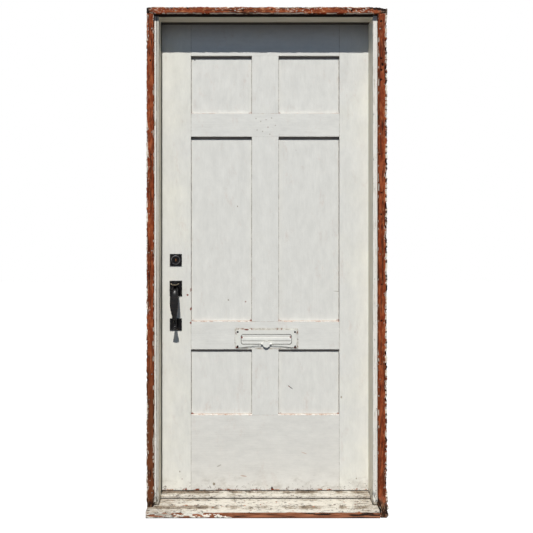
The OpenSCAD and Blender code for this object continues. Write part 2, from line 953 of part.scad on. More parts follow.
// Rose on the inside, with its screw holes
module rose(z) {
    color(iron_c)
        difference() {
            turned_y(lock_x, leaf_back, z, true)
                polygon([[0, 0], [rose_r, 0], [rose_r, rose_t - rose_edge], [rose_r - rose_edge, rose_t],
                    [0, rose_t]]);
            bar_y(lock_x, grow([leaf_back, leaf_back + rose_t], over), z, spindle_r + run_fit);
            trim_screw_pair(z, screw_fit);
        }
}
module knob_rose() {
    rose(latch_z);
}
module deadbolt_rose() {
    rose(deadbolt_z);
}

// Screws that draw a rose and an outside plate together through the bore
module trim_screw_pair(z, fit) {
    head_y = leaf_back + rose_t;
    for (s = [-1, 1]) {
        bar_y(lock_x + s * trim_screw_x, [leaf_front + stop_gap - fit, head_y], z + trim_screw_z,
            trim_screw_r + fit);
        bar_y(lock_x + s * trim_screw_x, [head_y - trim_head_h - fit, head_y], z + trim_screw_z,
            trim_head_r + fit);
    }
}
module trim_screws() {
    color(steel_c) {
        trim_screw_pair(latch_z, 0);
        trim_screw_pair(deadbolt_z, 0);
    }
}
module trim_bosses(z) {
    difference() {
        for (s = [-1, 1])
            bar_y(lock_x + s * trim_screw_x, [leaf_front, leaf_front + boss_l], z + trim_screw_z, boss_r);
        trim_screw_pair(z, screw_fit);
    }
}

// Round knob on its spindle
module inside_knob() {
    base = leaf_back + rose_t + move_gap;
    color(iron_c) {
        turned_y(lock_x, base, latch_z, true)
            polygon(concat([[0, 0]], [for (s = knob_profile_shares) [s[0] * knob_r, s[1] * knob_l]]));
        spindle(latch_z, latch_pin_r, knob_turn);
    }
}

// Thumb turn: an upright oval grip on a hub
module thumb_turn() {
    base = leaf_back + rose_t + move_gap;
    color(iron_c) {
        bar_y(lock_x, [base, base + turn_hub_l], deadbolt_z, turn_hub_r);
        along_y([base, base + turn_d])
            translate([lock_x, deadbolt_z]) {
                square([turn_w, turn_l - turn_w], center = true);
                for (s = [-1, 1])
                    translate([0, s * (turn_l - turn_w) / 2])
                        circle(d = turn_w);
            }
        spindle(deadbolt_z, deadbolt_pin_r, deadbolt_turn);
    }
}

// Deadbolt outside: square plate, tapered collar, cylinder and key plug
module deadbolt_plate() {
    color(iron_c) {
        difference() {
            eased_plate(around(lock_x, deadbolt_plate_w), around(deadbolt_z, deadbolt_plate_w), plate_t,
                plate_ease);
            bar_y(lock_x, [0, jamb_w], deadbolt_z, collar_d / 2 - collar_wall + wood_fit);
        }
        trim_bosses(deadbolt_z);
    }
}
module deadbolt_collar() {
    outer = collar_d / 2;
    inner = outer - collar_wall;
    color(iron_c)
        turned_y(lock_x, leaf_front - plate_t, deadbolt_z, false)
            polygon([[inner, 0], [outer, 0], [outer - collar_taper, collar_h - collar_lip],
                [outer - collar_taper - collar_lip / 2, collar_h - collar_lip / 4],
                [outer - collar_taper - collar_lip, collar_h], [inner + collar_lip / 2, collar_h],
                [inner, collar_h - collar_lip]]);
}
cylinder_y = [leaf_front - plate_t - collar_h + cylinder_sink, leaf_front + cylinder_body_l];
module deadbolt_cylinder() {
    color(iron_c)
        difference() {
            union() {
                bar_y(lock_x, [cylinder_y[0], leaf_front], deadbolt_z, collar_d / 2 - collar_wall - wood_fit);
                bar_y(lock_x, cylinder_y, deadbolt_z, cylinder_body_r);
            }
            bar_y(lock_x, grow(cylinder_y, over), deadbolt_z, plug_r + run_fit);
        }
}
module key_plug() {
    color(brass_c)
        difference() {
            bar_y(lock_x, [cylinder_y[0], cylinder_y[1] + plug_tail_l], deadbolt_z, plug_r);
            block(around(lock_x, key_w), [cylinder_y[0] - over, cylinder_y[0] + key_d],
                around(deadbolt_z, key_h));
        }
}

// Upper handle plate, with a slot and lugs for the thumbpiece
module handle_upper_plate() {
    lug_z = [thumb_z - thumb_slot_down, thumb_z + lug_h];
    color(iron_c) {
        difference() {
            eased_plate(around(lock_x, grip_plate_w), around(grip_plate_z, grip_plate_h), plate_t,
                plate_ease);
            block(around(lock_x, thumb_neck_w + 2 * move_gap),
                [leaf_front - plate_t - over, leaf_front + over],
                [thumb_z - thumb_slot_down, thumb_z + thumb_slot_up]);
        }
        trim_bosses(latch_z);
        difference() {
            for (side = [-1, 1])
                translate([lock_x, 0, 0])
                    on_side(side)
                        block([lug_x, lug_x + lug_t], [leaf_front, thumb_y + thumb_in], lug_z);
            bar_x(around(lock_x, 2 * (lug_x + lug_t + over)), thumb_y, thumb_z, trunnion_r + run_fit);
        }
    }
}
module thumbpiece() {
    dish_z = dish_r - thumb_t / 2;
    color(iron_c)
        translate([lock_x, thumb_y, thumb_z]) {
            bar_x(around(0, 2 * (lug_x + lug_t)), 0, 0, trunnion_r);
            rotate([thumb_droop, 0, 0])
                difference() {
                    union() {
                        block(around(0, thumb_neck_w), [-thumb_reach, thumb_tail_l], around(0, thumb_t));
                        intersection() {
                            bar_z(0, -thumb_reach, around(0, 2 * dish_r), thumb_pad_r);
                            translate([0, -thumb_reach, dish_z])
                                sphere(r = dish_r);
                        }
                    }
                    translate([0, -thumb_reach, dish_z])
                        sphere(r = dish_r - thumb_t);
                }
        }
}

// Grip: oval sections carried along the middle line by smooth interpolation of the shares
grip_last = len(grip_shares) - 1;
function spline(p0, p1, p2, p3, t) = (2 * p1 + (p2 - p0) * t + (2 * p0 - 5 * p1 + 4 * p2 - p3) * t * t
    + (3 * p1 - p0 - 3 * p2 + p3) * t * t * t) / 2;
function grip_at(u) =
    let (i = max(0, min(floor(u), grip_last - 1)))
    spline(grip_shares[max(i - 1, 0)], grip_shares[i], grip_shares[i + 1],
        grip_shares[min(i + 2, grip_last)], u - i);
function grip_point(u) =
    let (s = grip_at(u))
    [leaf_front - plate_t - s[0] * (grip_reach - plate_t), grip_top_z - s[1] * grip_span];
function grip_way(u) =
    let (d = grip_point(min(u + grip_step_share, grip_last)) - grip_point(max(u - grip_step_share, 0)))
    u <= 0 ? [-1, 0] : d / norm(d);
function grip_ring(u) =
    let (s = grip_at(u), p = grip_point(u), w = grip_way(u))
    [for (k = [0 : grip_sides - 1])
        let (a = 360 * k / grip_sides, across = cos(a) * s[2] * grip_w / 2, up = sin(a) * s[3] * grip_t / 2)
        [lock_x + across, p[0] - w[1] * up, p[1] + w[0] * up]];
module grip_body() {
    rings = [for (j = [0 : grip_steps]) grip_ring(grip_last * j / grip_steps)];
    polyhedron(points = [for (r = rings) for (p = r) p], faces = concat(
        [[for (k = [grip_sides - 1 : -1 : 0]) k]],
        [for (j = [0 : grip_steps - 1]) for (k = [0 : grip_sides - 1])
            let (n = (k + 1) % grip_sides, a = j * grip_sides, b = a + grip_sides)
            each [[a + k, b + n, b + k], [a + k, a + n, b + n]]],
        [[for (k = [0 : grip_sides - 1]) grip_steps * grip_sides + k]]));
}
module handle_grip() {
    post_y = [leaf_front - plate_t - grip_reach / 3, leaf_front - plate_t];
    color(iron_c)
        difference() {
            union() {
                grip_body();
                bar_y(lock_x, post_y, grip_foot_z, post_r);
            }
            bar_y(lock_x, [leaf_front - plate_t - grip_bolt_grip - screw_fit, leaf_front], grip_foot_z,
                grip_bolt_r + screw_fit);
        }
}
module handle_lower_plate() {
    color(iron_c)
        difference() {
            eased_plate(around(lock_x, foot_plate_w), around(grip_foot_z, foot_plate_w), plate_t, plate_ease);
            bar_y(lock_x, [0, jamb_w], grip_foot_z, grip_bolt_r + screw_fit);
        }
}
module grip_bolt() {
    color(steel_c) {
        bar_y(lock_x, [leaf_front - plate_t - grip_bolt_grip, leaf_back], grip_foot_z, grip_bolt_r);
        bar_y(lock_x, [leaf_back, leaf_back + grip_bolt_head_t], grip_foot_z, grip_bolt_head_r);
    }
}

// Mail plate: waisted sides, an arched lower edge and ears, around a raised field set in by a step
module mail_outline(inset) {
    side_r = arc_r(mail_waist_l, mail_waist_d);
    arch_r = arc_r(mail_arch_l, mail_arch_d);
    translate([mail_x, mail_z])
        difference() {
            square([mail_w - 2 * inset, mail_h - 2 * inset], center = true);
            for (s = [-1, 1])
                translate([s * (mail_w / 2 - mail_waist_d + side_r), 0])
                    circle(r = side_r + inset, $fn = 4 * $fn);
            translate([0, mail_arch_d - mail_h / 2 - arch_r])
                circle(r = arch_r + inset, $fn = 8 * $fn);
        }
}
// Outline of the flap, narrower at its top corners and round at its lower ones
module flap_outline(gap) {
    half = flap_w / 2 + gap;
    low = flap_z[0] - gap;
    high = flap_z[1] + gap;
    round_r = flap_corner_r + gap;
    translate([mail_x, 0]) {
        polygon([[-half, low + round_r], [half, low + round_r], [half, high - flap_shoulder_h],
            [half - flap_shoulder, high], [flap_shoulder - half, high], [-half, high - flap_shoulder_h]]);
        translate([round_r - half, low])
            square([2 * (half - round_r), round_r]);
        for (s = [-1, 1])
            translate([s * (half - round_r), low + round_r])
                circle(r = round_r);
    }
}
module mail_plate() {
    pin_half = flap_w / 2 - flap_shoulder + flap_pin_in;
    color(paint_c)
        difference() {
            union() {
                along_y([leaf_front - mail_edge_t, leaf_front])
                    mail_outline(0);
                along_y([leaf_front - mail_t, leaf_front])
                    mail_outline(mail_edge_w);
            }
            along_y([0, jamb_w])
                flap_outline(flap_gap);
            bar_x(around(mail_x, 2 * pin_half), flap_pin_y, flap_pin_z, flap_pin_r + run_fit);
            mail_screw_set(screw_fit);
        }
}
module mail_flap_pin() {
    pin_half = flap_w / 2 - flap_shoulder + flap_pin_in;
    color(steel_c)
        bar_x(around(mail_x, 2 * pin_half), flap_pin_y, flap_pin_z, flap_pin_r);
}

// Flap: a plate with a raised band along it, a barrel on the pin and a round pull tab at its foot
module flap_section() {
    face = flap_pin_y - flap_t / 2;
    translate([face, flap_z[0]])
        square([flap_t, flap_h - flap_barrel_r]);
    translate([face, blend(flap_z[0], flap_z[1], band_share)])
        polygon([[0, -band_h / 2], [-band_d, -band_h / 4], [-band_d, band_h / 4], [0, band_h / 2]]);
}
module mail_flap() {
    barrel_half = flap_w / 2 - flap_shoulder - move_gap;
    face = flap_pin_y - flap_t / 2;
    tab_y = [face - tab_out, face - tab_out + tab_t];
    tab_z = [flap_z[0] + tab_t - tab_h, flap_z[0] + tab_t];
    color(paint_c) {
        difference() {
            union() {
                intersection() {
                    along_x(around(mail_x, flap_w))
                        flap_section();
                    along_y([0, jamb_w])
                        flap_outline(0);
                }
                bar_x(around(mail_x, 2 * barrel_half), flap_pin_y, flap_pin_z, flap_barrel_r - move_gap);
            }
            bar_x(around(mail_x, flap_w + over), flap_pin_y, flap_pin_z, flap_pin_r + run_fit);
        }
        along_y(tab_y)
            translate([mail_x, tab_z[0] + tab_end_w / 2]) {
                polygon([[-tab_top_w / 2, tab_h - tab_end_w / 2], [tab_top_w / 2, tab_h - tab_end_w / 2],
                    [tab_end_w / 2, 0], [-tab_end_w / 2, 0]]);
                circle(d = tab_end_w);
            }
        block(around(mail_x, tab_top_w), [tab_y[0], face + flap_t], [flap_z[0], tab_z[1]]);
    }
}

// Plain frame on the inside of the slot
module mail_inner_plate() {
    color(paint_c)
        difference() {
            block(around(mail_x, mail_w - inner_border / 2), [leaf_back, leaf_back + inner_t],
                around((slot_z[0] + slot_z[1]) / 2, slot_z[1] - slot_z[0] + 2 * inner_border));
            block(slot_x, grow([leaf_back, leaf_back + inner_t], over), slot_z);
            mail_screw_set(screw_fit);
        }
}

// Domed screws of the outer plate at its ears, and of the inner plate at its ends
module mail_screw(x, z, face, dir, fit) {
    turned_y(x, face, z, dir > 0)
        polygon([[0, -mail_dome_t], [mail_dome_r / 2, -mail_dome_t], [mail_dome_r, 0],
            [mail_screw_r + fit, 0], [mail_screw_r + fit, mail_screw_l + fit], [0, mail_screw_l + fit]]);
}
module mail_screw_set(fit) {
    inner_z = (slot_z[0] + slot_z[1]) / 2;
    for (side = [-1, 1])
        for (up = [-1, 1]) {
            x = mail_x + side * mail_screw_x;
            mail_screw(x, mail_z - mail_screw_drop + up * mail_screw_z, leaf_front - mail_t, 1, fit);
            mail_screw(x, inner_z + up * inner_border, leaf_back + inner_t, -1, fit);
        }
}
module mail_screws() {
    color(paint_c)
        mail_screw_set(0);
}

sill();
threshold();
hinge_jamb();
latch_jamb();
head_jamb();
casing_left();
casing_right();
casing_head();
casing_nails();
latch_strike();
deadbolt_strike();
hinge_jamb_plate_top();
hinge_jamb_plate_middle();
hinge_jamb_plate_bottom();
hinge_pins();
frame_screws();
hinge_stile();
lock_stile();
top_rail();
frieze_rail();
lock_rail();
bottom_rail();
top_muntin();
middle_muntin();
lower_muntin();
panel_top_left();
panel_top_right();
panel_middle_left();
panel_middle_right();
panel_lower_left();
panel_lower_right();
hinge_leaf_plate_top();
hinge_leaf_plate_middle();
hinge_leaf_plate_bottom();
leaf_edge_screws();
deadbolt_plate();
deadbolt_collar();
deadbolt_cylinder();
deadbolt_case();
deadbolt_rose();
latch_case();
handle_upper_plate();
handle_grip();
handle_lower_plate();
grip_bolt();
knob_rose();
trim_screws();
mail_plate();
mail_inner_plate();
mail_screws();
mail_flap_pin();
thumbpiece();
inside_knob();
latch_bolt();
thumb_turn();
deadbolt_bolt();
key_plug();
mail_flap();
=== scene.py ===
import json
import math
import bpy
import numpy as np
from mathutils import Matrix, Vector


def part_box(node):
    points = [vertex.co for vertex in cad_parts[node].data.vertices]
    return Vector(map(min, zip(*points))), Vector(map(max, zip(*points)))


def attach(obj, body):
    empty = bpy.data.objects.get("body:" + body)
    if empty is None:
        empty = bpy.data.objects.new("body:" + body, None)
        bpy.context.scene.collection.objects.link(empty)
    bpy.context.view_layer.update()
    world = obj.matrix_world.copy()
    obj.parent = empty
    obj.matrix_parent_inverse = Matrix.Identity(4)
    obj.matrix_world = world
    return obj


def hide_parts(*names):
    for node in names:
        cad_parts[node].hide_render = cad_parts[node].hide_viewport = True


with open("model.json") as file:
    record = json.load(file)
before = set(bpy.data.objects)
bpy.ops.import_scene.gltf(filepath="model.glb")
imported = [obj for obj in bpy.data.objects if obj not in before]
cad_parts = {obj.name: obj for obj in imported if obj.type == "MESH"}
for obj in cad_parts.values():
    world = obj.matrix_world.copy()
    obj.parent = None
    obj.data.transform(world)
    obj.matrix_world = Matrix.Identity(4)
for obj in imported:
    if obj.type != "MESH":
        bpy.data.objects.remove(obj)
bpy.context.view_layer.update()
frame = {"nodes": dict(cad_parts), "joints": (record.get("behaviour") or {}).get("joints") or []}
nodes = frame["nodes"]
print("stage: CAD frame loaded")


# Colours are given as they look on a screen, 0 to 255, and turned into linear light here
def lin(red, green, blue):
    values = [c / 255 for c in (red, green, blue)]
    return tuple(c / 12.92 if c <= 0.04045 else ((c + 0.055) / 1.055) ** 2.4 for c in values) + (1.0,)


# Camera: level, a little left of the door's middle, with the small shifts that the framing needs
cameraSet = {"place": (-0.0745, -1.975, 1.164), "lens": 31.95, "sensor": 36, "shift": (0.0347, -0.0629)}
cameraData = bpy.data.cameras.new("mainCamera")
cameraData.lens = cameraSet["lens"]
cameraData.sensor_width = cameraSet["sensor"]
cameraData.shift_x, cameraData.shift_y = cameraSet["shift"]
camera = bpy.data.objects.new("mainCamera", cameraData)
camera.location = cameraSet["place"]
camera.rotation_euler = (math.pi / 2, 0, 0)
bpy.context.collection.objects.link(camera)
bpy.context.scene.camera = camera
bpy.context.scene.view_settings.view_transform = "Standard"

# Light: a key from above in front, a softer one from behind for the other sides, a weak cool fill all around
lightSet = {"key": {"travel": (0.02, 1.0, -1.37), "power": 4.5, "angle": 0.7, "color": (1.0, 0.985, 0.96)},
            "back": {"travel": (-0.3, -1.0, -0.9), "power": 2.6, "angle": 8.0, "color": (1.0, 0.98, 0.95)},
            "fill": 0.225, "fillColor": (0.31, 0.58, 1.06)}
for name in ("key", "back"):
    sunSet = lightSet[name]
    sunData = bpy.data.lights.new(name + "Light", "SUN")
    sunData.energy = sunSet["power"]
    sunData.angle = math.radians(sunSet["angle"])
    sunData.color = sunSet["color"]
    sun = bpy.data.objects.new(name + "Light", sunData)
    down = np.array(sunSet["travel"]) / np.linalg.norm(sunSet["travel"])
    sun.rotation_euler = (math.acos(-down[2]), 0, math.atan2(down[1], down[0]) - math.pi / 2)
    bpy.context.collection.objects.link(sun)


# A shader tree with short ways to add to it; a value is a number, a colour, a vector or another node's socket
class Shading:
    def __init__(self, tree):
        self.tree = tree

    def put(self, kind, given=None, **settings):  # a node, its settings and what goes into its inputs
        made = self.tree.nodes.new(kind)
        for key, value in settings.items():
            setattr(made, key, value)
        for key, value in (given or {}).items():
            self.feed(made.inputs[key], value)
        return made

    def feed(self, socket, value):
        if isinstance(value, bpy.types.NodeSocket):
            self.tree.links.new(value, socket)
        elif value is not None:
            socket.default_value = value

    def calc(self, operation, *given, clamp=False):
        made = self.put("ShaderNodeMath", dict(enumerate(given)), operation=operation, use_clamp=clamp)
        return made.outputs[0]

    def times(self, first, *others):
        for other in others:
            first = self.calc("MULTIPLY", first, other)
        return first

    def less(self, a, b):
        return self.calc("SUBTRACT", a, b)

    def gap(self, a, b):
        return self.calc("ABSOLUTE", self.less(a, b))

    def ramp(self, value, low, high, outLow=0.0, outHigh=1.0):
        given = {"Value": value, "From Min": low, "From Max": high, "To Min": outLow, "To Max": outHigh}
        return self.put("ShaderNodeMapRange", given, interpolation_type="SMOOTHSTEP").outputs[0]

    def fade(self, value, low, high, strength=1.0):  # full up to low, gone from high on
        return self.ramp(value, low, high, strength, 0.0)

    def blend(self, share, a, b, how="MIX"):
        made = self.put("ShaderNodeMix", {0: share, 6: a, 7: b}, data_type="RGBA", blend_type=how)
        return made.outputs[2]

    def vector(self, operation, *given):
        return self.put("ShaderNodeVectorMath", dict(enumerate(given)), operation=operation).outputs

    def scaled(self, vector, factors):
        return self.vector("MULTIPLY", vector, factors)[0]

    def split(self, vector):
        return self.put("ShaderNodeSeparateXYZ", {0: vector}).outputs

    def noise(self, vector, scale, detail=3.0, rough=0.55, twist=0.0):
        if isinstance(scale, tuple):  # one scale for each axis
            vector, scale = self.scaled(vector, scale), 1.0
        given = {"Vector": vector, "Scale": scale, "Detail": detail, "Roughness": rough, "Distortion": twist}
        return self.put("ShaderNodeTexNoise", given).outputs["Fac"]


# A shared effect is a node group with named sockets; an input without a start value is a vector
class Effect(Shading):
    def __init__(self, name, **inputs):
        super().__init__(bpy.data.node_groups.new(name, "ShaderNodeTree"))
        for label, value in inputs.items():
            kind = "NodeSocketVector" if value is None else "NodeSocketFloat"
            self.feed(self.tree.interface.new_socket(name=label, in_out="INPUT", socket_type=kind), value)
        self.given = self.put("NodeGroupInput").outputs

    def give(self, **results):
        for label in results:
            self.tree.interface.new_socket(name=label, in_out="OUTPUT", socket_type="NodeSocketFloat")
        self.put("NodeGroupOutput", results)


# Streaks: noise on coordinates that the material has stretched along the grain
streaks = Effect("streaks", Place=None)
place = streaks.given["Place"]
streaks.give(Fine=streaks.noise(place, 1.0, 4.0, 0.6), Broad=streaks.noise(place, 0.17, 3.0, 0.55, 0.4))

# Flakes: patches with a sharp broken outline, from a coarse and a fine noise
flakes = Effect("flakes", Place=None, Cover=0.5, Sharp=0.03)
place, sharp = flakes.given["Place"], flakes.given["Sharp"]
coarse = flakes.times(flakes.noise(place, 0.8, 3.0, 0.6), 0.55)
broken = flakes.calc("MULTIPLY_ADD", flakes.noise(place, 3.1, 5.0, 0.7), 0.45, coarse)
edgeAt = flakes.less(1.0, flakes.given["Cover"])
flakes.give(Gone=flakes.ramp(broken, flakes.less(edgeAt, sharp), flakes.calc("ADD", edgeAt, sharp)))

# Specks: scattered dots, one cell in so many holding one
specks = Effect("specks", Place=None, Share=0.2, Size=0.25)
cells = specks.put("ShaderNodeTexVoronoi", {"Vector": specks.given["Place"], "Scale": 1.0}).outputs
chance = specks.put("ShaderNodeSeparateColor", {0: cells["Color"]}).outputs
chosen = specks.calc("LESS_THAN", chance[0], specks.given["Share"])
size = specks.times(specks.given["Size"], specks.calc("MULTIPLY_ADD", chance[1], 0.8, 0.4))
specks.give(Mask=specks.times(chosen, specks.fade(cells["Distance"], specks.times(size, 0.6), size)))

# Border: 1 along the sides and the foot of a rectangle in X and Z, falling to 0 over the line's width
border = Effect("border", Place=None, Left=0.0, Right=1.0, Low=0.0, Width=0.002)
axes = border.split(border.given["Place"])
lines = {}
for label, axis in (("Left", 0), ("Right", 0), ("Low", 2)):
    lines[label] = border.fade(border.gap(axes[axis], border.given[label]), 0.0, border.given["Width"])
border.give(Sides=border.calc("MAXIMUM", lines["Left"], lines["Right"]), Foot=lines["Low"])

# Mark: a ragged ellipse at a place, with the inverse of its half sizes and a turn about Y
mark = Effect("mark", Place=None, At=None, Inverse=None, Turn=0.0, Rough=0.7)
place = mark.given["Place"]
spin = {"Vector": mark.vector("SUBTRACT", place, mark.given["At"])[0], "Angle": mark.given["Turn"]}
turned = mark.put("ShaderNodeVectorRotate", spin, rotation_type="Y_AXIS").outputs[0]
sized = mark.scaled(turned, mark.given["Inverse"])
uneven = mark.times(mark.less(mark.noise(place, 260.0, 4.0, 0.7), 0.5), mark.given["Rough"])
far = mark.calc("MULTIPLY_ADD", uneven, 2.0, mark.vector("LENGTH", sized)["Value"])
mark.give(Mask=mark.fade(far, 0.7, 1.0))

# Outline: distance in X and Z from a rectangle with round corners, negative inside
outline = Effect("outline", Place=None, Middle=None, Half=None, Radius=0.01)
place, middle, half, radius = outline.given[:4]
folded = outline.vector("ABSOLUTE", outline.vector("SUBTRACT", place, middle)[0])[0]
past = outline.split(outline.vector("SUBTRACT", folded, half)[0])
overX, overZ = [outline.calc("ADD", past[axis], radius) for axis in (0, 2)]
outX, outZ = [outline.calc("MAXIMUM", over, 0.0) for over in (overX, overZ)]
corner = outline.calc("SQRT", outline.calc("MULTIPLY_ADD", outX, outX, outline.times(outZ, outZ)))
inner = outline.calc("MINIMUM", outline.calc("MAXIMUM", overX, overZ), 0.0)
outline.give(Distance=outline.less(outline.calc("ADD", corner, inner), radius))
print("stage: shader groups made")


# A material under work: its set of colours, Principled shader, object coordinates and the colour so far
class Finish(Shading):
    def __init__(self, name, colors=None, rough=0.5, shine=0.15, metallic=0.0):
        self.material = bpy.data.materials.new(name)
        self.material.use_nodes = True
        super().__init__(self.material.node_tree)
        self.colors = colors
        self.inputs = self.tree.nodes["Principled BSDF"].inputs
        for key, value in (("Roughness", rough), ("Specular IOR Level", shine), ("Metallic", metallic)):
            self.feed(self.inputs[key], value)
        self.place = self.put("ShaderNodeTexCoord").outputs["Object"]
        self.x, self.y, self.z = self.split(self.place)
        self.color = None

    def lay(self, color, *masks):  # a colour, or its name in the set, where all the masks meet
        color = self.colors[color] if isinstance(color, str) else color
        self.color = self.blend(self.times(*masks), self.color, color)

    def use(self, effect, **given):
        return self.put("ShaderNodeGroup", given, node_tree=effect.tree).outputs

    def streaks(self, stretch):
        return self.use(streaks, Place=self.scaled(self.place, stretch))

    def flakes(self, stretch, cover, sharp=0.02):
        return self.use(flakes, Place=self.scaled(self.place, stretch), Cover=cover, Sharp=sharp)["Gone"]

    def outline(self, middle, half, radius):  # distance from the outline, whichever side
        away = self.use(outline, Place=self.place, Middle=middle, Half=half, Radius=radius)["Distance"]
        return self.calc("ABSOLUTE", away)

    def mark(self, at, halfX, halfZ, deep=0.0, **more):
        inverse = (1 / halfX, deep, 1 / halfZ)
        return self.use(mark, Place=self.place, At=at, Inverse=inverse, **more)["Mask"]

    def attribute(self, name):
        return self.put("ShaderNodeAttribute", attribute_name=name).outputs["Fac"]

    def done(self, height, distance, strength):  # the height goes into a bump
        bump = self.put("ShaderNodeBump", {"Height": height, "Distance": distance, "Strength": strength})
        self.feed(self.inputs["Normal"], bump.outputs[0])
        self.feed(self.inputs["Base Color"], self.color)
        return self.material


# Stretches are given for upright grain; for grain along X they change places
def alongGrain(grain, stretch):
    return stretch if grain == "Z" else stretch[::-1]


# 1 for what the camera sees straight or in a reflection, 0 for what only lights the door
def seenShare(shading):
    rays = shading.put("ShaderNodeLightPath").outputs
    seen = shading.calc("MAXIMUM", rays["Is Camera Ray"], rays["Is Glossy Ray"])
    return shading.calc("MAXIMUM", seen, rays["Is Transmission Ray"])


# Floor: white to the camera, greyer as a source of light, and it keeps the door's shadow
floorSet = {"half": 9, "bounce": (0.09, 0.0864, 0.0792, 1.0), "paper": (0.9, 0.9, 0.9, 1.0), "glow": 0.8}
reach = floorSet["half"]
floorMesh = bpy.data.meshes.new("floor")
floorCorners = [(-reach, -reach, 0), (reach, -reach, 0), (reach, reach, 0), (-reach, reach, 0)]
floorMesh.from_pydata(floorCorners, [], [(0, 1, 2, 3)])
floor = bpy.data.objects.new("floor", floorMesh)
bpy.context.collection.objects.link(floor)
floorMaterial = bpy.data.materials.new("floorPaper")
floorMaterial.use_nodes = True
ground = Shading(floorMaterial.node_tree)
ground.tree.nodes.remove(ground.tree.nodes["Principled BSDF"])
seen = seenShare(ground)
tint = ground.blend(seen, floorSet["bounce"], floorSet["paper"])
paper = ground.put("ShaderNodeBsdfDiffuse", {"Color": tint}).outputs[0]
glow = ground.put("ShaderNodeEmission").outputs[0]
joined = ground.put("ShaderNodeMixShader", {0: ground.times(seen, floorSet["glow"]), 1: paper, 2: glow})
ground.feed(ground.tree.nodes["Material Output"].inputs["Surface"], joined.outputs[0])
floorMesh.materials.append(floorMaterial)

world = bpy.data.worlds.new("studio")
bpy.context.scene.world = world
world.use_nodes = True
sky = Shading(world.node_tree)
fill = tuple(c * lightSet["fill"] for c in lightSet["fillColor"]) + (1.0,)
sky.feed(sky.tree.nodes["Background"].inputs["Color"], sky.blend(seenShare(sky), fill, (1.0, 1.0, 1.0, 1.0)))
print("stage: camera, light and floor set")

# Mail plate: its outline in X and Z, which the rail's dirt shares, the flap's outline and the band across it
plateLo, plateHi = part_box("mail_plate")
mailSet = {"dark": lin(66, 56, 46), "red": lin(112, 46, 32), "lit": lin(220, 219, 209),
           "flapLit": lin(228, 227, 218), "rough": 0.36, "shine": 0.25,
           "middle": ((plateLo.x + plateHi.x) / 2, 0.0, (plateLo.z + plateHi.z) / 2),
           "half": ((plateHi.x - plateLo.x) / 2, 1.0, (plateHi.z - plateLo.z) / 2), "radius": 0.002,
           "flapZ": 0.704, "flapHalf": (0.109, 1.0, 0.021), "flapRadius": 0.01, "lineHalf": 0.0021,
           "bandLines": (0.7145, 0.6965), "bandHalf": 0.1, "tabHalf": 0.021, "tabTop": 0.69}

# Leaf paint: off-white brushed coats, dirt in the joints, chips down to a red undercoat, stray marks, and
# painted shade under the rails and under the head.
# Here and below, strokes and the like are counts of features in a metre along X, Y and Z.
leafSet = {"white": lin(219, 217, 209), "warm": lin(229, 226, 211), "low": lin(212, 208, 199),
           "dirt": lin(132, 118, 96), "crevice": lin(88, 66, 50), "undercoat": lin(122, 56, 38),
           "tan": lin(176, 132, 104), "ink": lin(40, 30, 26), "rough": 0.42, "shine": 0.22,
           "strokes": (200.0, 200.0, 9.0), "patches": (34.0, 34.0, 13.0), "stain": (20.0, 20.0, 9.0),
           "wisps": (16.0, 16.0, 26.0), "grit": (85.0, 85.0, 85.0), "chips": (45.0, 45.0, 90.0),
           "specks": (30.0, 30.0, 30.0), "lineWidth": 0.0042, "hairline": (0.0005, 0.0028),
           "endLine": (0.0005, 0.0024), "lip": 0.0022, "railShade": (0.011, 0.007), "underRail": 0.75,
           "lowFrom": (0.62, 0.12), "grimeFrom": (0.16, 0.052), "gritFrom": (0.13, 0.05),
           "chipsFrom": (0.07, 0.05), "sootFrom": (1.98, 2.066)}
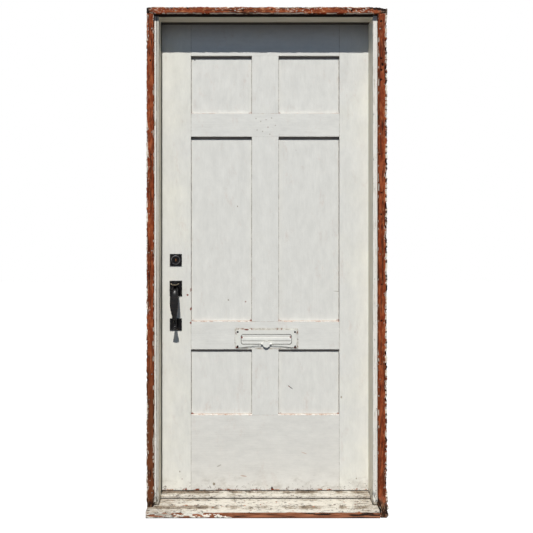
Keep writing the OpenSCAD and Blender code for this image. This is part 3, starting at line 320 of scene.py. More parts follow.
# marks as X, Z, half width, half height, turn in degrees, colour, strength
leafMarks = [
    (-0.343, 0.054, 0.0035, 0.006, 0, "undercoat", 1.0), (-0.293, 0.0535, 0.010, 0.0035, 0, "undercoat", 1.0),
    (-0.222, 0.076, 0.006, 0.007, 20, "dirt", 0.9), (0.0295, 0.057, 0.005, 0.009, 10, "ink", 1.0),
    (0.032, 0.053, 0.009, 0.004, 0, "undercoat", 0.9), (0.110, 0.492, 0.015, 0.0018, -39, "ink", 0.95),
    (0.104, 0.4965, 0.005, 0.0024, -30, "undercoat", 0.8), (-0.094, 0.111, 0.017, 0.0022, -8, "tan", 0.8),
    (-0.336, 0.895, 0.005, 0.005, 0, "undercoat", 1.0), (-0.3225, 0.917, 0.004, 0.009, 0, "undercoat", 0.6),
    (-0.3225, 0.835, 0.004, 0.007, 0, "undercoat", 1.0), (-0.3225, 0.774, 0.005, 0.006, 0, "undercoat", 0.9),
    (-0.04, 1.660, 0.003, 0.003, 0, "dirt", 0.55), (-0.02, 1.648, 0.0035, 0.003, 0, "dirt", 0.5),
    (0.004, 1.655, 0.003, 0.003, 0, "undercoat", 0.45), (0.028, 1.662, 0.0035, 0.003, 0, "dirt", 0.5),
    (0.044, 1.63, 0.003, 0.003, 0, "dirt", 0.5), (0.012, 1.622, 0.003, 0.0045, 0, "undercoat", 0.45),
    (-0.012, 1.604, 0.0032, 0.003, 0, "dirt", 0.55), (0.02, 1.592, 0.003, 0.003, 0, "dirt", 0.5),
    (-0.035, 1.61, 0.003, 0.003, 0, "dirt", 0.45), (-0.306, 1.917, 0.003, 0.003, 0, "ink", 0.9),
    (-0.16, 0.872, 0.003, 0.0035, 0, "dirt", 0.9), (-0.085, 0.865, 0.0035, 0.004, 0, "undercoat", 0.7),
    (0.315, 0.91, 0.02, 0.0016, -4, "dirt", 0.7), (-0.12, 1.28, 0.0025, 0.004, 0, "dirt", 0.8),
    (0.33, 0.452, 0.004, 0.006, 0, "dirt", 0.8), (-0.2, 0.155, 0.012, 0.003, 25, "dirt", 0.5),
    (0.17, 0.21, 0.015, 0.002, -20, "tan", 0.5), (-0.37, 0.13, 0.003, 0.004, 0, "dirt", 0.8),
    (0.395, 0.1, 0.003, 0.004, 0, "dirt", 0.8), (-0.36, 0.098, 0.003, 0.003, 0, "undercoat", 0.7)]


# low darkens towards the foot; opening is a panel's left, right, foot and head; ledges and ends are heights,
# joints are distances from the door's middle
def leafPaint(name, node, grain, tint=0.0, low=0.0, opening=None, ledges=(), joints=(), ends=()):
    paint = Finish(name, leafSet, leafSet["rough"], leafSet["shine"])
    place, x, z = paint.place, paint.x, paint.z
    lo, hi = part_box(node)
    strokes = paint.streaks(alongGrain(grain, leafSet["strokes"]))["Fine"]
    patches = paint.noise(place, alongGrain(grain, leafSet["patches"]), 6.0, 0.7)
    uneven = paint.noise(place, 60.0, 5.0, 0.7)
    cloud = paint.calc("MULTIPLY_ADD", paint.noise(place, 5.0, 5.0, 0.62), 1.6, -0.8)
    paint.color = paint.blend(paint.calc("ADD", cloud, tint, clamp=True), leafSet["white"], leafSet["warm"])
    paint.lay("low", paint.ramp(z, *leafSet["lowFrom"]), low)
    shade = paint.calc("MULTIPLY_ADD", strokes, 0.05, paint.calc("MULTIPLY_ADD", patches, 0.34, 0.795))
    tone = paint.put("ShaderNodeCombineColor", dict.fromkeys(range(3), shade))
    paint.color = paint.blend(1.0, paint.color, tone.outputs[0], "MULTIPLY")
    stain = paint.noise(place, leafSet["stain"], 7.0, 0.8)
    paint.lay("tan", paint.ramp(stain, 0.55, 0.72, 0.0, 0.2))
    # hairlines where the rails meet the stiles, and where the muntins meet the rails
    for line in joints:
        hair = paint.fade(paint.gap(paint.calc("ABSOLUTE", x), line), *leafSet["hairline"])
        paint.lay("dirt", hair, paint.ramp(uneven, 0.4, 0.65, 0.35, 0.95))
    for line in ends:
        hair = paint.fade(paint.gap(z, line), *leafSet["endLine"])
        paint.lay("dirt", hair, paint.ramp(uneven, 0.4, 0.65, 0.1, 0.55))
    # dirt and painted shade in the crevice round a panel, browner along its foot, bare undercoat in its lower
    # corners
    if opening:
        left, right, foot, head = opening
        rim = paint.use(border, Place=place, Left=left, Right=right, Low=foot, Width=leafSet["lineWidth"])
        paint.lay("tan", rim["Foot"], paint.ramp(uneven, 0.35, 0.6, 0.45, 0.95))
        paint.lay("crevice", rim["Sides"], paint.ramp(uneven, 0.3, 0.62, 0.35, 0.95))
        # painted shadow: a dark band across the panel's top, under the rail's edge, where the key light's
        # shadow falls
        wavy = paint.calc("MULTIPLY_ADD", uneven, 0.004, z)
        shadeLow, shadeHigh = [head - below for below in leafSet["railShade"]]
        paint.lay("crevice", paint.ramp(wavy, shadeLow, shadeHigh, 0.0, leafSet["underRail"]))
        nearFoot = paint.fade(paint.less(z, foot), 0.004, 0.012)
        nearSide = paint.fade(paint.calc("MINIMUM", paint.less(x, left), paint.less(right, x)), 0.005, 0.016)
        paint.lay("undercoat", nearFoot, nearSide, paint.ramp(uneven, 0.42, 0.58))
    # worn upper edges of the rails, where the paint has gone from the ledge
    for ledge in ledges:
        lip = paint.fade(paint.gap(z, ledge), 0.0, leafSet["lip"])
        patchy = paint.noise(place, 40.0, 5.0, 0.7)
        paint.lay("tan", lip, paint.ramp(patchy, 0.46, 0.6, 0.0, 0.7))
        paint.lay("undercoat", lip, paint.ramp(patchy, 0.6, 0.68, 0.0, 0.6))
    # grime, grit and chips near the foot, stray specks everywhere, then the marks on this piece
    wisps = paint.noise(place, leafSet["wisps"], 6.0, 0.75)
    paint.lay("dirt", paint.ramp(z, *leafSet["grimeFrom"]), paint.ramp(wisps, 0.44, 0.74, 0.0, 0.5))
    grit = paint.flakes(leafSet["grit"], paint.ramp(z, *leafSet["gritFrom"], 0.26, 0.43))
    paint.lay("crevice", grit, 0.85)
    chips = paint.flakes(leafSet["chips"], paint.ramp(z, *leafSet["chipsFrom"], 0.2, 0.47))
    paint.lay(paint.blend(paint.ramp(uneven, 0.45, 0.55), leafSet["undercoat"], leafSet["tan"]), chips)
    stray = paint.use(specks, Place=paint.scaled(place, leafSet["specks"]), Share=0.05, Size=0.06)
    paint.lay("dirt", stray["Mask"], 0.8)
    for markX, markZ, halfX, halfZ, turn, ink, strength in leafMarks:
        if lo.x < markX < hi.x and lo.z < markZ < hi.z:
            spot = paint.mark((markX, lo.y, markZ), halfX, halfZ, deep=40.0, Turn=math.radians(turn))
            paint.lay(ink, spot, strength)
    # painted shade: the leaf darkens towards its top, under the head jamb
    paint.lay("crevice", paint.ramp(z, *leafSet["sootFrom"], 0.0, 0.4))
    if node == "lock_rail":
        away = paint.outline(mailSet["middle"], mailSet["half"], mailSet["radius"])
        paint.lay("dirt", paint.fade(away, 0.001, 0.004), paint.ramp(uneven, 0.45, 0.62, 0.12, 0.8))
    rough = paint.ramp(patches, 0.3, 0.7, leafSet["rough"] - 0.06, leafSet["rough"] + 0.12)
    paint.feed(paint.inputs["Roughness"], rough)
    brushed = paint.calc("MULTIPLY_ADD", patches, 0.8, strokes)
    waves = paint.noise(place, 26.0, 3.0, 0.5)
    return paint.done(paint.calc("MULTIPLY_ADD", waves, 1.4, brushed), 0.0009, 0.5)


looks = {"hinge_stile": leafPaint("paintHingeStile", "hinge_stile", "Z", 0.1),
         "lock_stile": leafPaint("paintLockStile", "lock_stile", "Z", 0.3)}
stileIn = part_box("hinge_stile")[0].x
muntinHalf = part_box("top_muntin")[1].x
railTop = {rail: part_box(rail)[1].z for rail in ("bottom_rail", "lock_rail", "frieze_rail")}
for rail, low in (("top_rail", 0.0), ("frieze_rail", 0.0), ("lock_rail", 0.0), ("bottom_rail", 0.6)):
    ledges = (railTop[rail],) if rail in railTop else ()
    looks[rail] = leafPaint("paint." + rail, rail, "X", -0.1, low, ledges=ledges, joints=(stileIn,))
for band, below, above in (("lower", "bottom_rail", "lock_rail"), ("middle", "lock_rail", "frieze_rail"),
                           ("top", "frieze_rail", "top_rail")):
    foot, head = railTop[below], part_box(above)[0].z
    muntin = band + "_muntin"
    looks[muntin] = leafPaint("paint." + muntin, muntin, "Z", -0.15, ends=(foot, head))
    for side, left, right in (("left", -stileIn, -muntinHalf), ("right", muntinHalf, stileIn)):
        panel = "panel_" + band + "_" + side
        looks[panel] = leafPaint("paint.panel." + band + "." + side, panel, "Z", -0.2, 0.3,
                                 opening=(left, right, foot, head))
print("stage: leaf paint made")


# Surfaces of the new pieces: value noise in two parameters, random heights on a lattice joined smoothly
def lattice(u, v, seed):
    iu, iv = np.floor(u), np.floor(v)
    fu, fv = ease(u - iu, 0, 1), ease(v - iv, 0, 1)

    def height(a, b):
        wave = np.sin((iu + a) * 127.1 + (iv + b) * 311.7 + seed * 74.7)
        return np.modf(np.abs(wave * 43758.5453))[0]

    near = height(0, 0) * (1 - fu) + height(1, 0) * fu
    far = height(0, 1) * (1 - fu) + height(1, 1) * fu
    return near * (1 - fv) + far * fv


# That noise at four scales, each half as large and half as strong as the one before
def ragged(u, v, seed, octaves=4):
    layers = [lattice(u * 2 ** k, v * 2 ** k, seed + 7 * k) / 2 ** k for k in range(octaves)]
    return sum(layers) / sum(0.5 ** k for k in range(octaves))


# A smooth step from 0 at low to 1 at high, the other way round where low is the larger
def ease(value, low, high):
    share = np.clip((value - low) / (high - low), 0, 1)
    return share * share * (3 - 2 * share)


# A mesh from grids of points; a closed one joins its last column to its first, has end caps and faces out
def gridPiece(name, grids, look, body, closed=True, attributes=None, stands=()):
    verts, faces, base = [], [], 0
    for grid in grids:
        rows, cols = grid.shape[:2]
        index = base + np.arange(rows * cols).reshape(rows, cols)
        wide = np.concatenate([index, index[:, :1]], 1) if closed else index
        quads = np.stack([wide[:-1, :-1], wide[:-1, 1:], wide[1:, 1:], wide[1:, :-1]], -1).reshape(-1, 4)
        caps = [list(index[0, ::-1]), list(index[-1])] if closed else []
        points = grid.reshape(-1, 3)
        if closed:
            a, b, c, d = [points[quads[:, k] - base] - points.mean(0) for k in range(4)]
            volume = np.einsum("ij,ij->i", a, np.cross(b, c)) + np.einsum("ij,ij->i", a, np.cross(c, d))
            if volume.sum() < 0:
                quads = quads[:, ::-1]
                caps = [cap[::-1] for cap in caps]
        verts.append(points)
        faces += quads.tolist() + caps
        base += rows * cols
    mesh = bpy.data.meshes.new(name)
    mesh.from_pydata(np.concatenate(verts).tolist(), [], faces)
    mesh.polygons.foreach_set("use_smooth", np.ones(len(mesh.polygons), bool))
    for label, values in (attributes or {}).items():
        channel = mesh.attributes.new(label, "FLOAT", "POINT")
        channel.data.foreach_set("value", values.astype(np.float32).ravel())
    mesh.materials.append(look)
    piece = bpy.data.objects.new(name, mesh)
    bpy.context.collection.objects.link(piece)
    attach(piece, body)
    if stands:
        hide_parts(*stands)


# Frame paint: cream faces, a rough white skin over the front edges, dark cracks, and painted shade: a dark
# band in the gap by the leaf, and the head jamb's front edge under the casing
jambSet = {"paint": lin(234, 231, 222), "reveal": lin(238, 230, 211), "bright": lin(250, 244, 228),
           "soffit": lin(246, 238, 220), "streak": lin(222, 209, 184), "grey": lin(182, 177, 164),
           "timber": lin(186, 178, 160), "dark": lin(50, 42, 34), "rough": 0.65, "edgeRough": 0.6,
           "strokes": (260.0, 260.0, 8.0), "cracks": (200.0, 120.0, 40.0),
           "edgeStrokes": (420.0, 420.0, 14.0), "edgeCracks": (260.0, 120.0, 60.0),
           "gapFrom": 0.046, "gapFull": 0.054, "stopLine": 0.4565, "cracksFrom": (0.16, 0.03)}
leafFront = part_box("lock_stile")[0].y
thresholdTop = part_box("threshold")[1].z


def jambPaint(name, grain, base, gapShade=False, streaky=1.0):
    paint = Finish(name, jambSet, jambSet["rough"])
    strokes = paint.streaks(alongGrain(grain, jambSet["strokes"]))["Fine"]
    paint.color = base
    paint.lay("streak", paint.ramp(strokes, 0.35, 0.7, 0.0, streaky))
    # side jambs show bare timber at the reveal's front; the head jamb's front edge is painted dark, as
    # painted shade under the casing
    paint.lay("timber" if grain == "Z" else "dark", paint.ramp(paint.y, 0.0035, 0.0005))
    cover = paint.ramp(paint.z, *jambSet["cracksFrom"], 0.3, 0.5) if grain == "Z" else 0.3
    cracked = paint.flakes(alongGrain(grain, jambSet["cracks"]), cover)
    paint.lay("dark", cracked, 0.75)
    # painted shade: a dark band in the deep end of the reveal by the leaf, the gap's shade with some dirt
    if gapShade:
        deep = paint.ramp(paint.y, jambSet["gapFrom"], jambSet["gapFull"])
        paint.lay("dark", deep, paint.ramp(paint.y, leafFront - 0.0002, leafFront - 0.0008), 0.95)
    wet = paint.calc("MULTIPLY_ADD", paint.noise(paint.place, 60.0, 4.0, 0.65), 0.02, paint.z)
    paint.lay("dark", paint.ramp(wet, thresholdTop, thresholdTop - 0.006), 0.85)
    return paint.done(paint.less(strokes, cracked), 0.001, 0.5)


# each jamb takes the cream at its own brightness: the right jamb and the soffit are painted lighter, as
# painted light
looks["hinge_jamb"] = jambPaint("jambPaintRight", "Z", jambSet["bright"], streaky=0.6)
looks["latch_jamb"] = jambPaint("jambPaintLeft", "Z", jambSet["reveal"], True)
looks["head_jamb"] = jambPaint("jambPaintHead", "X", jambSet["soffit"], True)


# White skin of the jambs' front edges; the left one is greyer beside the stop, with a thin dark joint
def edgePaint(name):
    paint = Finish(name, jambSet, jambSet["edgeRough"])
    strokes = paint.streaks(jambSet["edgeStrokes"])
    paint.color = jambSet["paint"]
    paint.lay("timber", paint.ramp(strokes["Fine"], 0.42, 0.74, 0.0, 0.75))
    fromStop = paint.less(paint.calc("ABSOLUTE", paint.x), jambSet["stopLine"])
    onLeft = paint.calc("LESS_THAN", paint.x, 0.0)
    paint.lay("grey", onLeft, paint.ramp(fromStop, 0.0, -0.001), 0.85)
    joint = paint.fade(paint.calc("ABSOLUTE", fromStop), 0.0006, 0.0018)
    paint.lay("dark", onLeft, joint, paint.ramp(strokes["Broad"], 0.35, 0.6, 0.4, 0.9))
    wet = paint.calc("MULTIPLY_ADD", paint.noise(paint.place, 90.0, 4.0, 0.65), 0.02, paint.z)
    paint.lay("dark", paint.ramp(wet, thresholdTop + 0.004, thresholdTop - 0.003), 0.9)
    cracked = paint.flakes(jambSet["edgeCracks"], paint.ramp(paint.z, *jambSet["cracksFrom"], 0.39, 0.5))
    paint.lay("dark", cracked, 0.8)
    return paint.done(paint.less(strokes["Fine"], cracked), 0.0012, 0.5)


# A skin of paint over a CAD face: points stand off along the normal where paint is left, and sink under the
# face where it has gone
def paintSkin(name, points, normal, kept, thickness, look):
    lift = thickness * (ease(kept, 0.0, 0.12) * 1.25 - 0.25)
    gridPiece(name, [points + normal * lift[..., None]], look, "frame", closed=False)


edgeSkin = {"thickness": 0.0009, "cell": (0.0032, 0.045), "kept": {"left": 0.74, "right": 0.78}, "seed": 11.0,
            "width": 0.0195, "foot": 0.012, "top": 2.07, "points": (22, 1200)}
edgeLook = edgePaint("edgeFlakes")
for side, node in (("left", "latch_jamb"), ("right", "hinge_jamb")):
    lo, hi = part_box(node)
    fromX = hi.x - edgeSkin["width"] if side == "left" else lo.x
    x = np.linspace(fromX, fromX + edgeSkin["width"], edgeSkin["points"][0])
    x, up = np.meshgrid(x, np.linspace(lo.z + edgeSkin["foot"], edgeSkin["top"], edgeSkin["points"][1]))
    cellX, cellZ = edgeSkin["cell"]
    kept = ragged(x / cellX, up / cellZ, edgeSkin["seed"]) - 1 + edgeSkin["kept"][side]
    kept += 0.16 * (ragged(up / 0.12, up * 0, 4.0) - 0.5)
    outwards = np.array([0.0, -1.0, 0.0])
    paintSkin("edge_flakes_" + side, np.stack([x, 0 * x, up], -1), outwards, kept, edgeSkin["thickness"],
              edgeLook)

# Bare casing boards, red-brown and weathered, browner low on the left, with old paint along their edges
casingSet = {"red": lin(120, 50, 24), "pale": lin(154, 80, 46), "deep": lin(78, 36, 20),
             "brown": lin(92, 56, 34), "check": lin(30, 18, 13), "chip": lin(222, 212, 194),
             "tan": lin(188, 130, 88), "rot": lin(104, 76, 54), "rough": 0.75, "shine": 0.08,
             "strokes": (130.0, 130.0, 9.0), "cloud": (60.0, 60.0, 22.0), "bleach": (150.0, 150.0, 40.0),
             "headBleach": (60.0, 150.0, 150.0), "brownFrom": (0.85, 0.35), "step": 0.0025}


def casingTimber(name, grain, bleached, bleachStretch):
    timber = Finish(name, casingSet, casingSet["rough"], casingSet["shine"])
    strokes = timber.streaks(alongGrain(grain, casingSet["strokes"]))["Fine"]
    cloud = timber.noise(timber.place, alongGrain(grain, casingSet["cloud"]), 6.0, 0.75)
    timber.color = casingSet["red"]
    timber.lay("pale", timber.ramp(cloud, 0.42, 0.6))
    timber.lay("deep", timber.ramp(strokes, 0.48, 0.62, 0.0, 0.9))
    bleach = timber.noise(timber.place, bleachStretch, 5.0, 0.7)
    timber.lay("tan", timber.ramp(bleach, 0.52, 0.66, 0.0, bleached))
    if grain == "Z":
        lowDown = timber.ramp(timber.z, *casingSet["brownFrom"], 0.0, 0.75)
        timber.lay("brown", timber.ramp(timber.x, 0.05, -0.05), lowDown)
    for mask, color in (("grey", "rot"), ("pale", "chip"), ("dark", "check")):
        timber.lay(color, timber.attribute(mask))
    return timber.done(strokes, 0.0016, 0.7)


# A section with two quarter-round arrises, square at the back, is carried along the board. Noise along the
# length bites into its edges, noise over the face dents it, and both grow where it is rotten.
# a is the way across from the CAD board's outer edge, d the depth under the face and run the way along.
def weatheredBoard(node, look, wear):
    lo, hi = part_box(node)
    upright, seed = wear["upright"], wear["seed"]
    low, high = (lo.z, hi.z) if upright else (lo.x, hi.x)
    width = hi.x - lo.x if upright else hi.z - lo.z
    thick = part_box("casing_head")[1].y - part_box("casing_head")[0].y
    length = high - low + sum(wear["ends"])
    along = np.linspace(0, length, int(length / casingSet["step"]))[:, None]
    level = 0 * along
    rot = np.max([ease(along, faded, full) for full, faded in wear["rot"]], axis=0)
    crumble = rot * wear["crumble"]
    depth = thick + wear["foot"] * rot
    turn = np.linspace(0, np.pi / 2, 5)[None, :]
    rise = np.linspace(1, 0, 6)[None, :-1]
    flat = np.linspace(0, 1, 16)[None, 1:-1]

    def bitten(j, deepest):
        teeth = np.clip(ragged(along / wear["tooth"], level + j, seed + j) - 0.36, 0, None)
        return deepest * (1 + 2.2 * crumble) * teeth * 2.4 + 0.0012 * crumble

    def arris(j, bite):  # up the side from the back, then round to the face
        radius = 0.0012 + 0.0035 * ragged(along / 0.03, level, seed + 20 + j) + 0.003 * rot
        over = np.concatenate([bite * (1 - 0.6 * rise), bite + radius * (1 - np.cos(turn))], 1)
        under = np.concatenate([radius + (depth - radius) * rise, radius * (1 - np.sin(turn))], 1)
        return over, under

    outerBite, innerBite = bitten(0, wear["outer"]), bitten(1, wear["inner"])
    outerA, outerD = arris(0, outerBite)
    innerA, innerD = [side[:, ::-1] for side in arris(1, innerBite)]
    outerA = outerA - wear["swell"]
    innerA = width - innerA
    faceA = outerA[:, -1:] + (innerA[:, :1] - outerA[:, -1:]) * flat
    a = np.concatenate([outerA, faceA, innerA], 1)
    d = np.concatenate([outerD, 0 * faceA, innerD], 1)
    run = along + 0 * a
    front = np.clip(1 - d / thick, 0, 1)
    fromOuter = a - outerBite + wear["swell"]
    fromInner = width - a - innerBite

    def patches(cellA, cellRun, shift):
        return ragged(a / cellA, run / cellRun, seed + shift)

    def stretches(cell, shift):
        return ragged(run / cell, 0 * run, seed + shift)

    # dents, checks along the grain, knots and holes
    d = d + front * (0.0011 * patches(0.006, 0.03, 3) + 0.0035 * rot * patches(0.008, 0.012, 5))
    checks = ease(patches(0.0035, 0.07, 9), 0.66, 0.72) * ease(stretches(0.2, 2), 0.4, 0.6)
    dark = np.clip(checks * 0.8 + rot * ease(patches(0.004, 0.01, 6), 0.44, 0.54), 0, 1)
    for spotA, spotRun, radius in wear["holes"]:
        away = np.hypot(a - spotA, run - spotRun) + 0.002 * (patches(0.003, 0.003, 0) - 0.5)
        hole = ease(away, radius, radius * 0.5) * front
        dark = np.maximum(dark, hole)
        d = d + hole * 0.004
    d = d + 0.0016 * checks * front
    nearOuter = np.exp(-np.clip(fromOuter, 0, None) / 0.0045)
    notch = ease(outerBite, 0.5 * wear["outer"], 0.75 * wear["outer"]) * nearOuter
    dark = np.maximum(dark, notch * ease(front, 0.2, 0.8))
    # chips of old paint held along both edges
    flecks = patches(0.0022, wear["fleck"], 31) + 0.4 * (stretches(0.11, 17) - 0.5)
    pale = 0
    for share, inside, reach in zip(wear["chips"], (fromOuter, fromInner), (wear["reach"], 0.0028)):
        atEdge = np.exp(-np.clip(inside, 0, None) / reach)
        pale = pale + ease(flecks - (1 - share) + wear["hold"] * (atEdge - 1), -0.02, 0.03)
    # the inner arris, broken in places to a dark and a pale line
    broken = ease(stretches(0.02, 41), 0.72 - 0.45 * wear["arris"], 0.78 - 0.45 * wear["arris"]) * front
    dark = np.maximum(dark, wear["arris"] * ease(np.abs(fromInner - 0.0042), 0.0022, 0.0008) * broken)
    pale = np.maximum(pale, ease(fromInner, 0.0026, 0.0016) * broken)
    # painted shade: the head board's inner side, under the casing, is darkened
    dark = np.maximum(dark, ease(wear["arris"], 0.2, 0.6) * ease(front, 0.85, 0.6) * (a > width / 2))
    pale = np.maximum(pale, wear["cream"] * rot * ease(patches(0.005, 0.007, 51), 0.56, 0.62))
    # a torn strip down the outer edge, cream with dark gaps
    torn = ease(fromOuter, wear["strip"], wear["strip"] - 0.0015)
    pale = np.maximum(pale, torn * ease(ragged(run / 0.014, d / 0.006, seed + 61), 0.4, 0.46))
    gaps = ease(ragged(run / 0.009, d / 0.006, seed + 71), 0.56, 0.62)
    dark = np.maximum(dark, torn * gaps * ease(front, 0.2, 0.8))
    pale = np.clip(pale, 0, 1) * (1 - dark) * ease(front, 0.45, 0.8)
    grey = np.clip(rot * ease(patches(0.006, 0.02, 13), 0.2, 0.55), 0, 1)
    up = low - wear["ends"][0] + run
    if upright:
        points = np.stack([lo.x + a if wear["outerLow"] else hi.x - a, d - depth, up], -1)
    else:
        points = np.stack([up, d - depth, hi.z - a], -1)
    masks = {"dark": dark, "pale": pale, "grey": grey}
    gridPiece(node + "_board", [points], look, "frame", attributes=masks, stands=(node,))


# outer and inner are bites at their deepest, swell and ends reach past the CAD board, chips are shares at
# both edges, rot has the full and faded ends of each stretch, holes are across, along and radius
casingWear = {
    "casing_left": {
        "upright": True, "outerLow": True, "seed": 3.0, "swell": 0.0037, "ends": (0.0, 0.0), "tooth": 0.012,
        "outer": 0.0026, "inner": 0.0012, "chips": (0.68, 0.4), "fleck": 0.016, "reach": 0.008, "hold": 0.7,
        "cream": 0.0, "crumble": 0.0, "rot": ((0.0, 0.07),), "arris": 0.2, "strip": 0.0, "foot": 0.0,
        "holes": ((0.013, 1.85, 0.004), (0.018, 1.46, 0.003))},
    "casing_right": {
        "upright": True, "outerLow": False, "seed": 8.0, "swell": 0.0105, "ends": (0.0, 0.0), "tooth": 0.01,
        "outer": 0.0044, "inner": 0.0012, "chips": (0.72, 0.38), "fleck": 0.018, "reach": 0.011, "hold": 0.8,
        "cream": 0.15, "crumble": 1.0, "rot": ((0.04, 0.085),), "arris": 0.1, "strip": 0.008, "foot": 0.0255,
        "holes": ((0.016, 2.04, 0.005), (0.015, 1.886, 0.005), (0.009, 1.861, 0.007), (0.014, 1.838, 0.005),
                  (0.016, 1.797, 0.005), (0.021, 1.489, 0.004), (0.013, 1.33, 0.004), (0.015, 1.24, 0.005),
                  (0.012, 0.95, 0.004), (0.014, 0.8, 0.005), (0.016, 0.62, 0.004))},
    "casing_head": {
        "upright": False, "seed": 14.0, "swell": 0.0026, "ends": (0.0035, 0.0105), "tooth": 0.016,
        "outer": 0.0022, "inner": 0.0018, "chips": (0.64, 0.5), "fleck": 0.009, "reach": 0.004, "hold": 0.42,
        "cream": 1.0, "crumble": 1.0, "rot": ((0.0, 0.035), (0.985, 0.955)), "arris": 0.75, "strip": 0.0,
        "foot": 0.0,
        "holes": ((0.013, 0.4, 0.005), (0.01, 0.52, 0.004), (0.015, 0.85, 0.005), (0.002, 0.105, 0.005),
                  (0.003, 0.17, 0.006), (0.001, 0.93, 0.009), (0.002, 0.946, 0.012), (0.003, 0.963, 0.014),
                  (0.004, 0.98, 0.016), (0.018, 0.004, 0.012), (0.007, 0.002, 0.007))}}
uprightTimber = casingTimber("casingUpright", "Z", 0.3, casingSet["bleach"])
headTimber = casingTimber("casingHead", "X", 0.95, casingSet["headBleach"])
for node, wear in casingWear.items():
    looks[node] = uprightTimber if wear["upright"] else headTimber
    weatheredBoard(node, looks[node], wear)
print("stage: casings and flakes made")

# Sill and threshold: brown timber under a cream skin, dirt and grit along it, the nose worn bare to the right
sillLo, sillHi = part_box("sill")
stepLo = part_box("threshold")[0]
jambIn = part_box("hinge_jamb")[0].x
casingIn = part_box("casing_right")[0].x
# splits are X, Z, half width and half height; soiled bands are a middle and half width in Y, and a strength;
# lines are the axis they cross, a place on it and a half width
sillSet = {"cream": lin(201, 195, 182), "nose": lin(240, 233, 218), "dirt": lin(118, 100, 78),
           "timber": lin(172, 110, 78), "deep": lin(96, 52, 34), "check": lin(40, 26, 19),
           "line": lin(38, 30, 24), "pale": lin(196, 166, 136), "rough": 0.6, "timberRough": 0.7,
           "timberStrokes": (9.0, 200.0, 200.0), "checks": (7.0, 90.0, 90.0), "strokes": (10.0, 210.0, 210.0),
           "wisps": (32.0, 150.0, 150.0), "grit": (55.0, 150.0, 150.0), "noseFrom": (0.0245, 0.0225),
           "splits": ((0.227, 0.0145, 0.045, 0.003), (0.175, 0.019, 0.03, 0.002), (0.37, 0.012, 0.04, 0.004),
                      (0.415, 0.019, 0.03, 0.003), (0.02, 0.016, 0.03, 0.0018)),
           "soiled": ((-0.018, 0.018, 0.7), (0.03, 0.012, 0.4)),
           "lines": (("y", stepLo.y - 0.0008, 0.003), ("z", 0.0, 0.005)),
           "stepSoiled": ((0.066, 0.016, 0.9), (0.047, 0.012, 0.3)),
           "stepLines": (("z", stepLo.z + 0.0005, 0.0042), ("y", leafFront + 0.006, 0.007))}


def sillTimber(name):
    timber = Finish(name, sillSet, sillSet["timberRough"])
    strokes = timber.streaks(sillSet["timberStrokes"])["Fine"]
    timber.color = sillSet["timber"]
    timber.lay("deep", timber.ramp(strokes, 0.38, 0.66))
    checks = timber.noise(timber.place, sillSet["checks"], 5.0, 0.65)
    toEnd = timber.ramp(timber.x, 0.25, 0.42, 0.0, 0.1)
    timber.lay("check", timber.ramp(timber.calc("ADD", checks, toEnd), 0.56, 0.62))
    timber.lay("check", timber.ramp(timber.z, 0.005, 0.002, 0.0, 0.8))
    timber.lay("pale", timber.ramp(checks, 0.4, 0.32, 0.0, 0.75))
    for markX, markZ, halfX, halfZ in sillSet["splits"]:
        timber.lay("check", timber.mark((markX, 0.0, markZ), halfX, halfZ, Rough=0.5))
    return timber.done(checks, 0.004, 0.7)


def sillPaint(name, soiled, lines):
    paint = Finish(name, sillSet, sillSet["rough"])
    place, x, y = paint.place, paint.x, paint.y
    strokes = paint.streaks(sillSet["strokes"])["Fine"]
    wisps = paint.noise(place, sillSet["wisps"], 8.0, 0.85)
    amount = paint.ramp(paint.calc("ABSOLUTE", x), 0.3, 0.45, 0.0, 0.35)
    patchy = paint.ramp(paint.noise(place, (9.0, 0.0, 0.0), 4.0, 0.6), 0.38, 0.62)
    patchy = paint.calc("ADD", patchy, paint.ramp(x, -0.15, -0.4, 0.0, 0.6), clamp=True)
    for middle, half, strength in soiled:
        band = paint.ramp(paint.gap(y, middle), half, half * 0.3, 0.0, strength)
        amount = paint.calc("MAXIMUM", amount, paint.times(band, patchy))
    stain = paint.calc("ADD", wisps, paint.times(amount, 0.28))
    paint.color = paint.blend(paint.ramp(paint.z, *sillSet["noseFrom"]), sillSet["cream"], sillSet["nose"])
    paint.lay("dirt", paint.ramp(stain, 0.5, 0.7, 0.0, 0.85))
    grit = paint.flakes(sillSet["grit"], paint.calc("MULTIPLY_ADD", amount, 0.06, 0.42), 0.03)
    paint.lay("check", grit, 0.8)
    waver = paint.times(paint.less(paint.noise(place, (70.0, 0.0, 0.0), 4.0, 0.65), 0.5), 0.012)
    # dark lines, partly dark joints and partly painted shade: in the gap under the leaf, at the threshold's
    # foot and at the sill's foot
    for axis, middle, half in lines:
        across = paint.calc("ADD", paint.less(getattr(paint, axis), middle), waver)
        paint.lay("line", paint.fade(paint.calc("ABSOLUTE", across), half * 0.5, half, 0.92))
    # dark corners at the feet of the jambs
    corner = paint.ramp(paint.calc("ADD", paint.calc("ABSOLUTE", x), waver), jambIn - 0.0035, jambIn - 0.001)
    paint.lay("line", corner, paint.ramp(y, -0.004, -0.002), 0.9)
    return paint.done(paint.less(strokes, grit), 0.001, 0.5)


looks["sill"] = sillTimber("sillTimber")
looks["threshold"] = sillPaint("thresholdPaint", sillSet["stepSoiled"], sillSet["stepLines"])
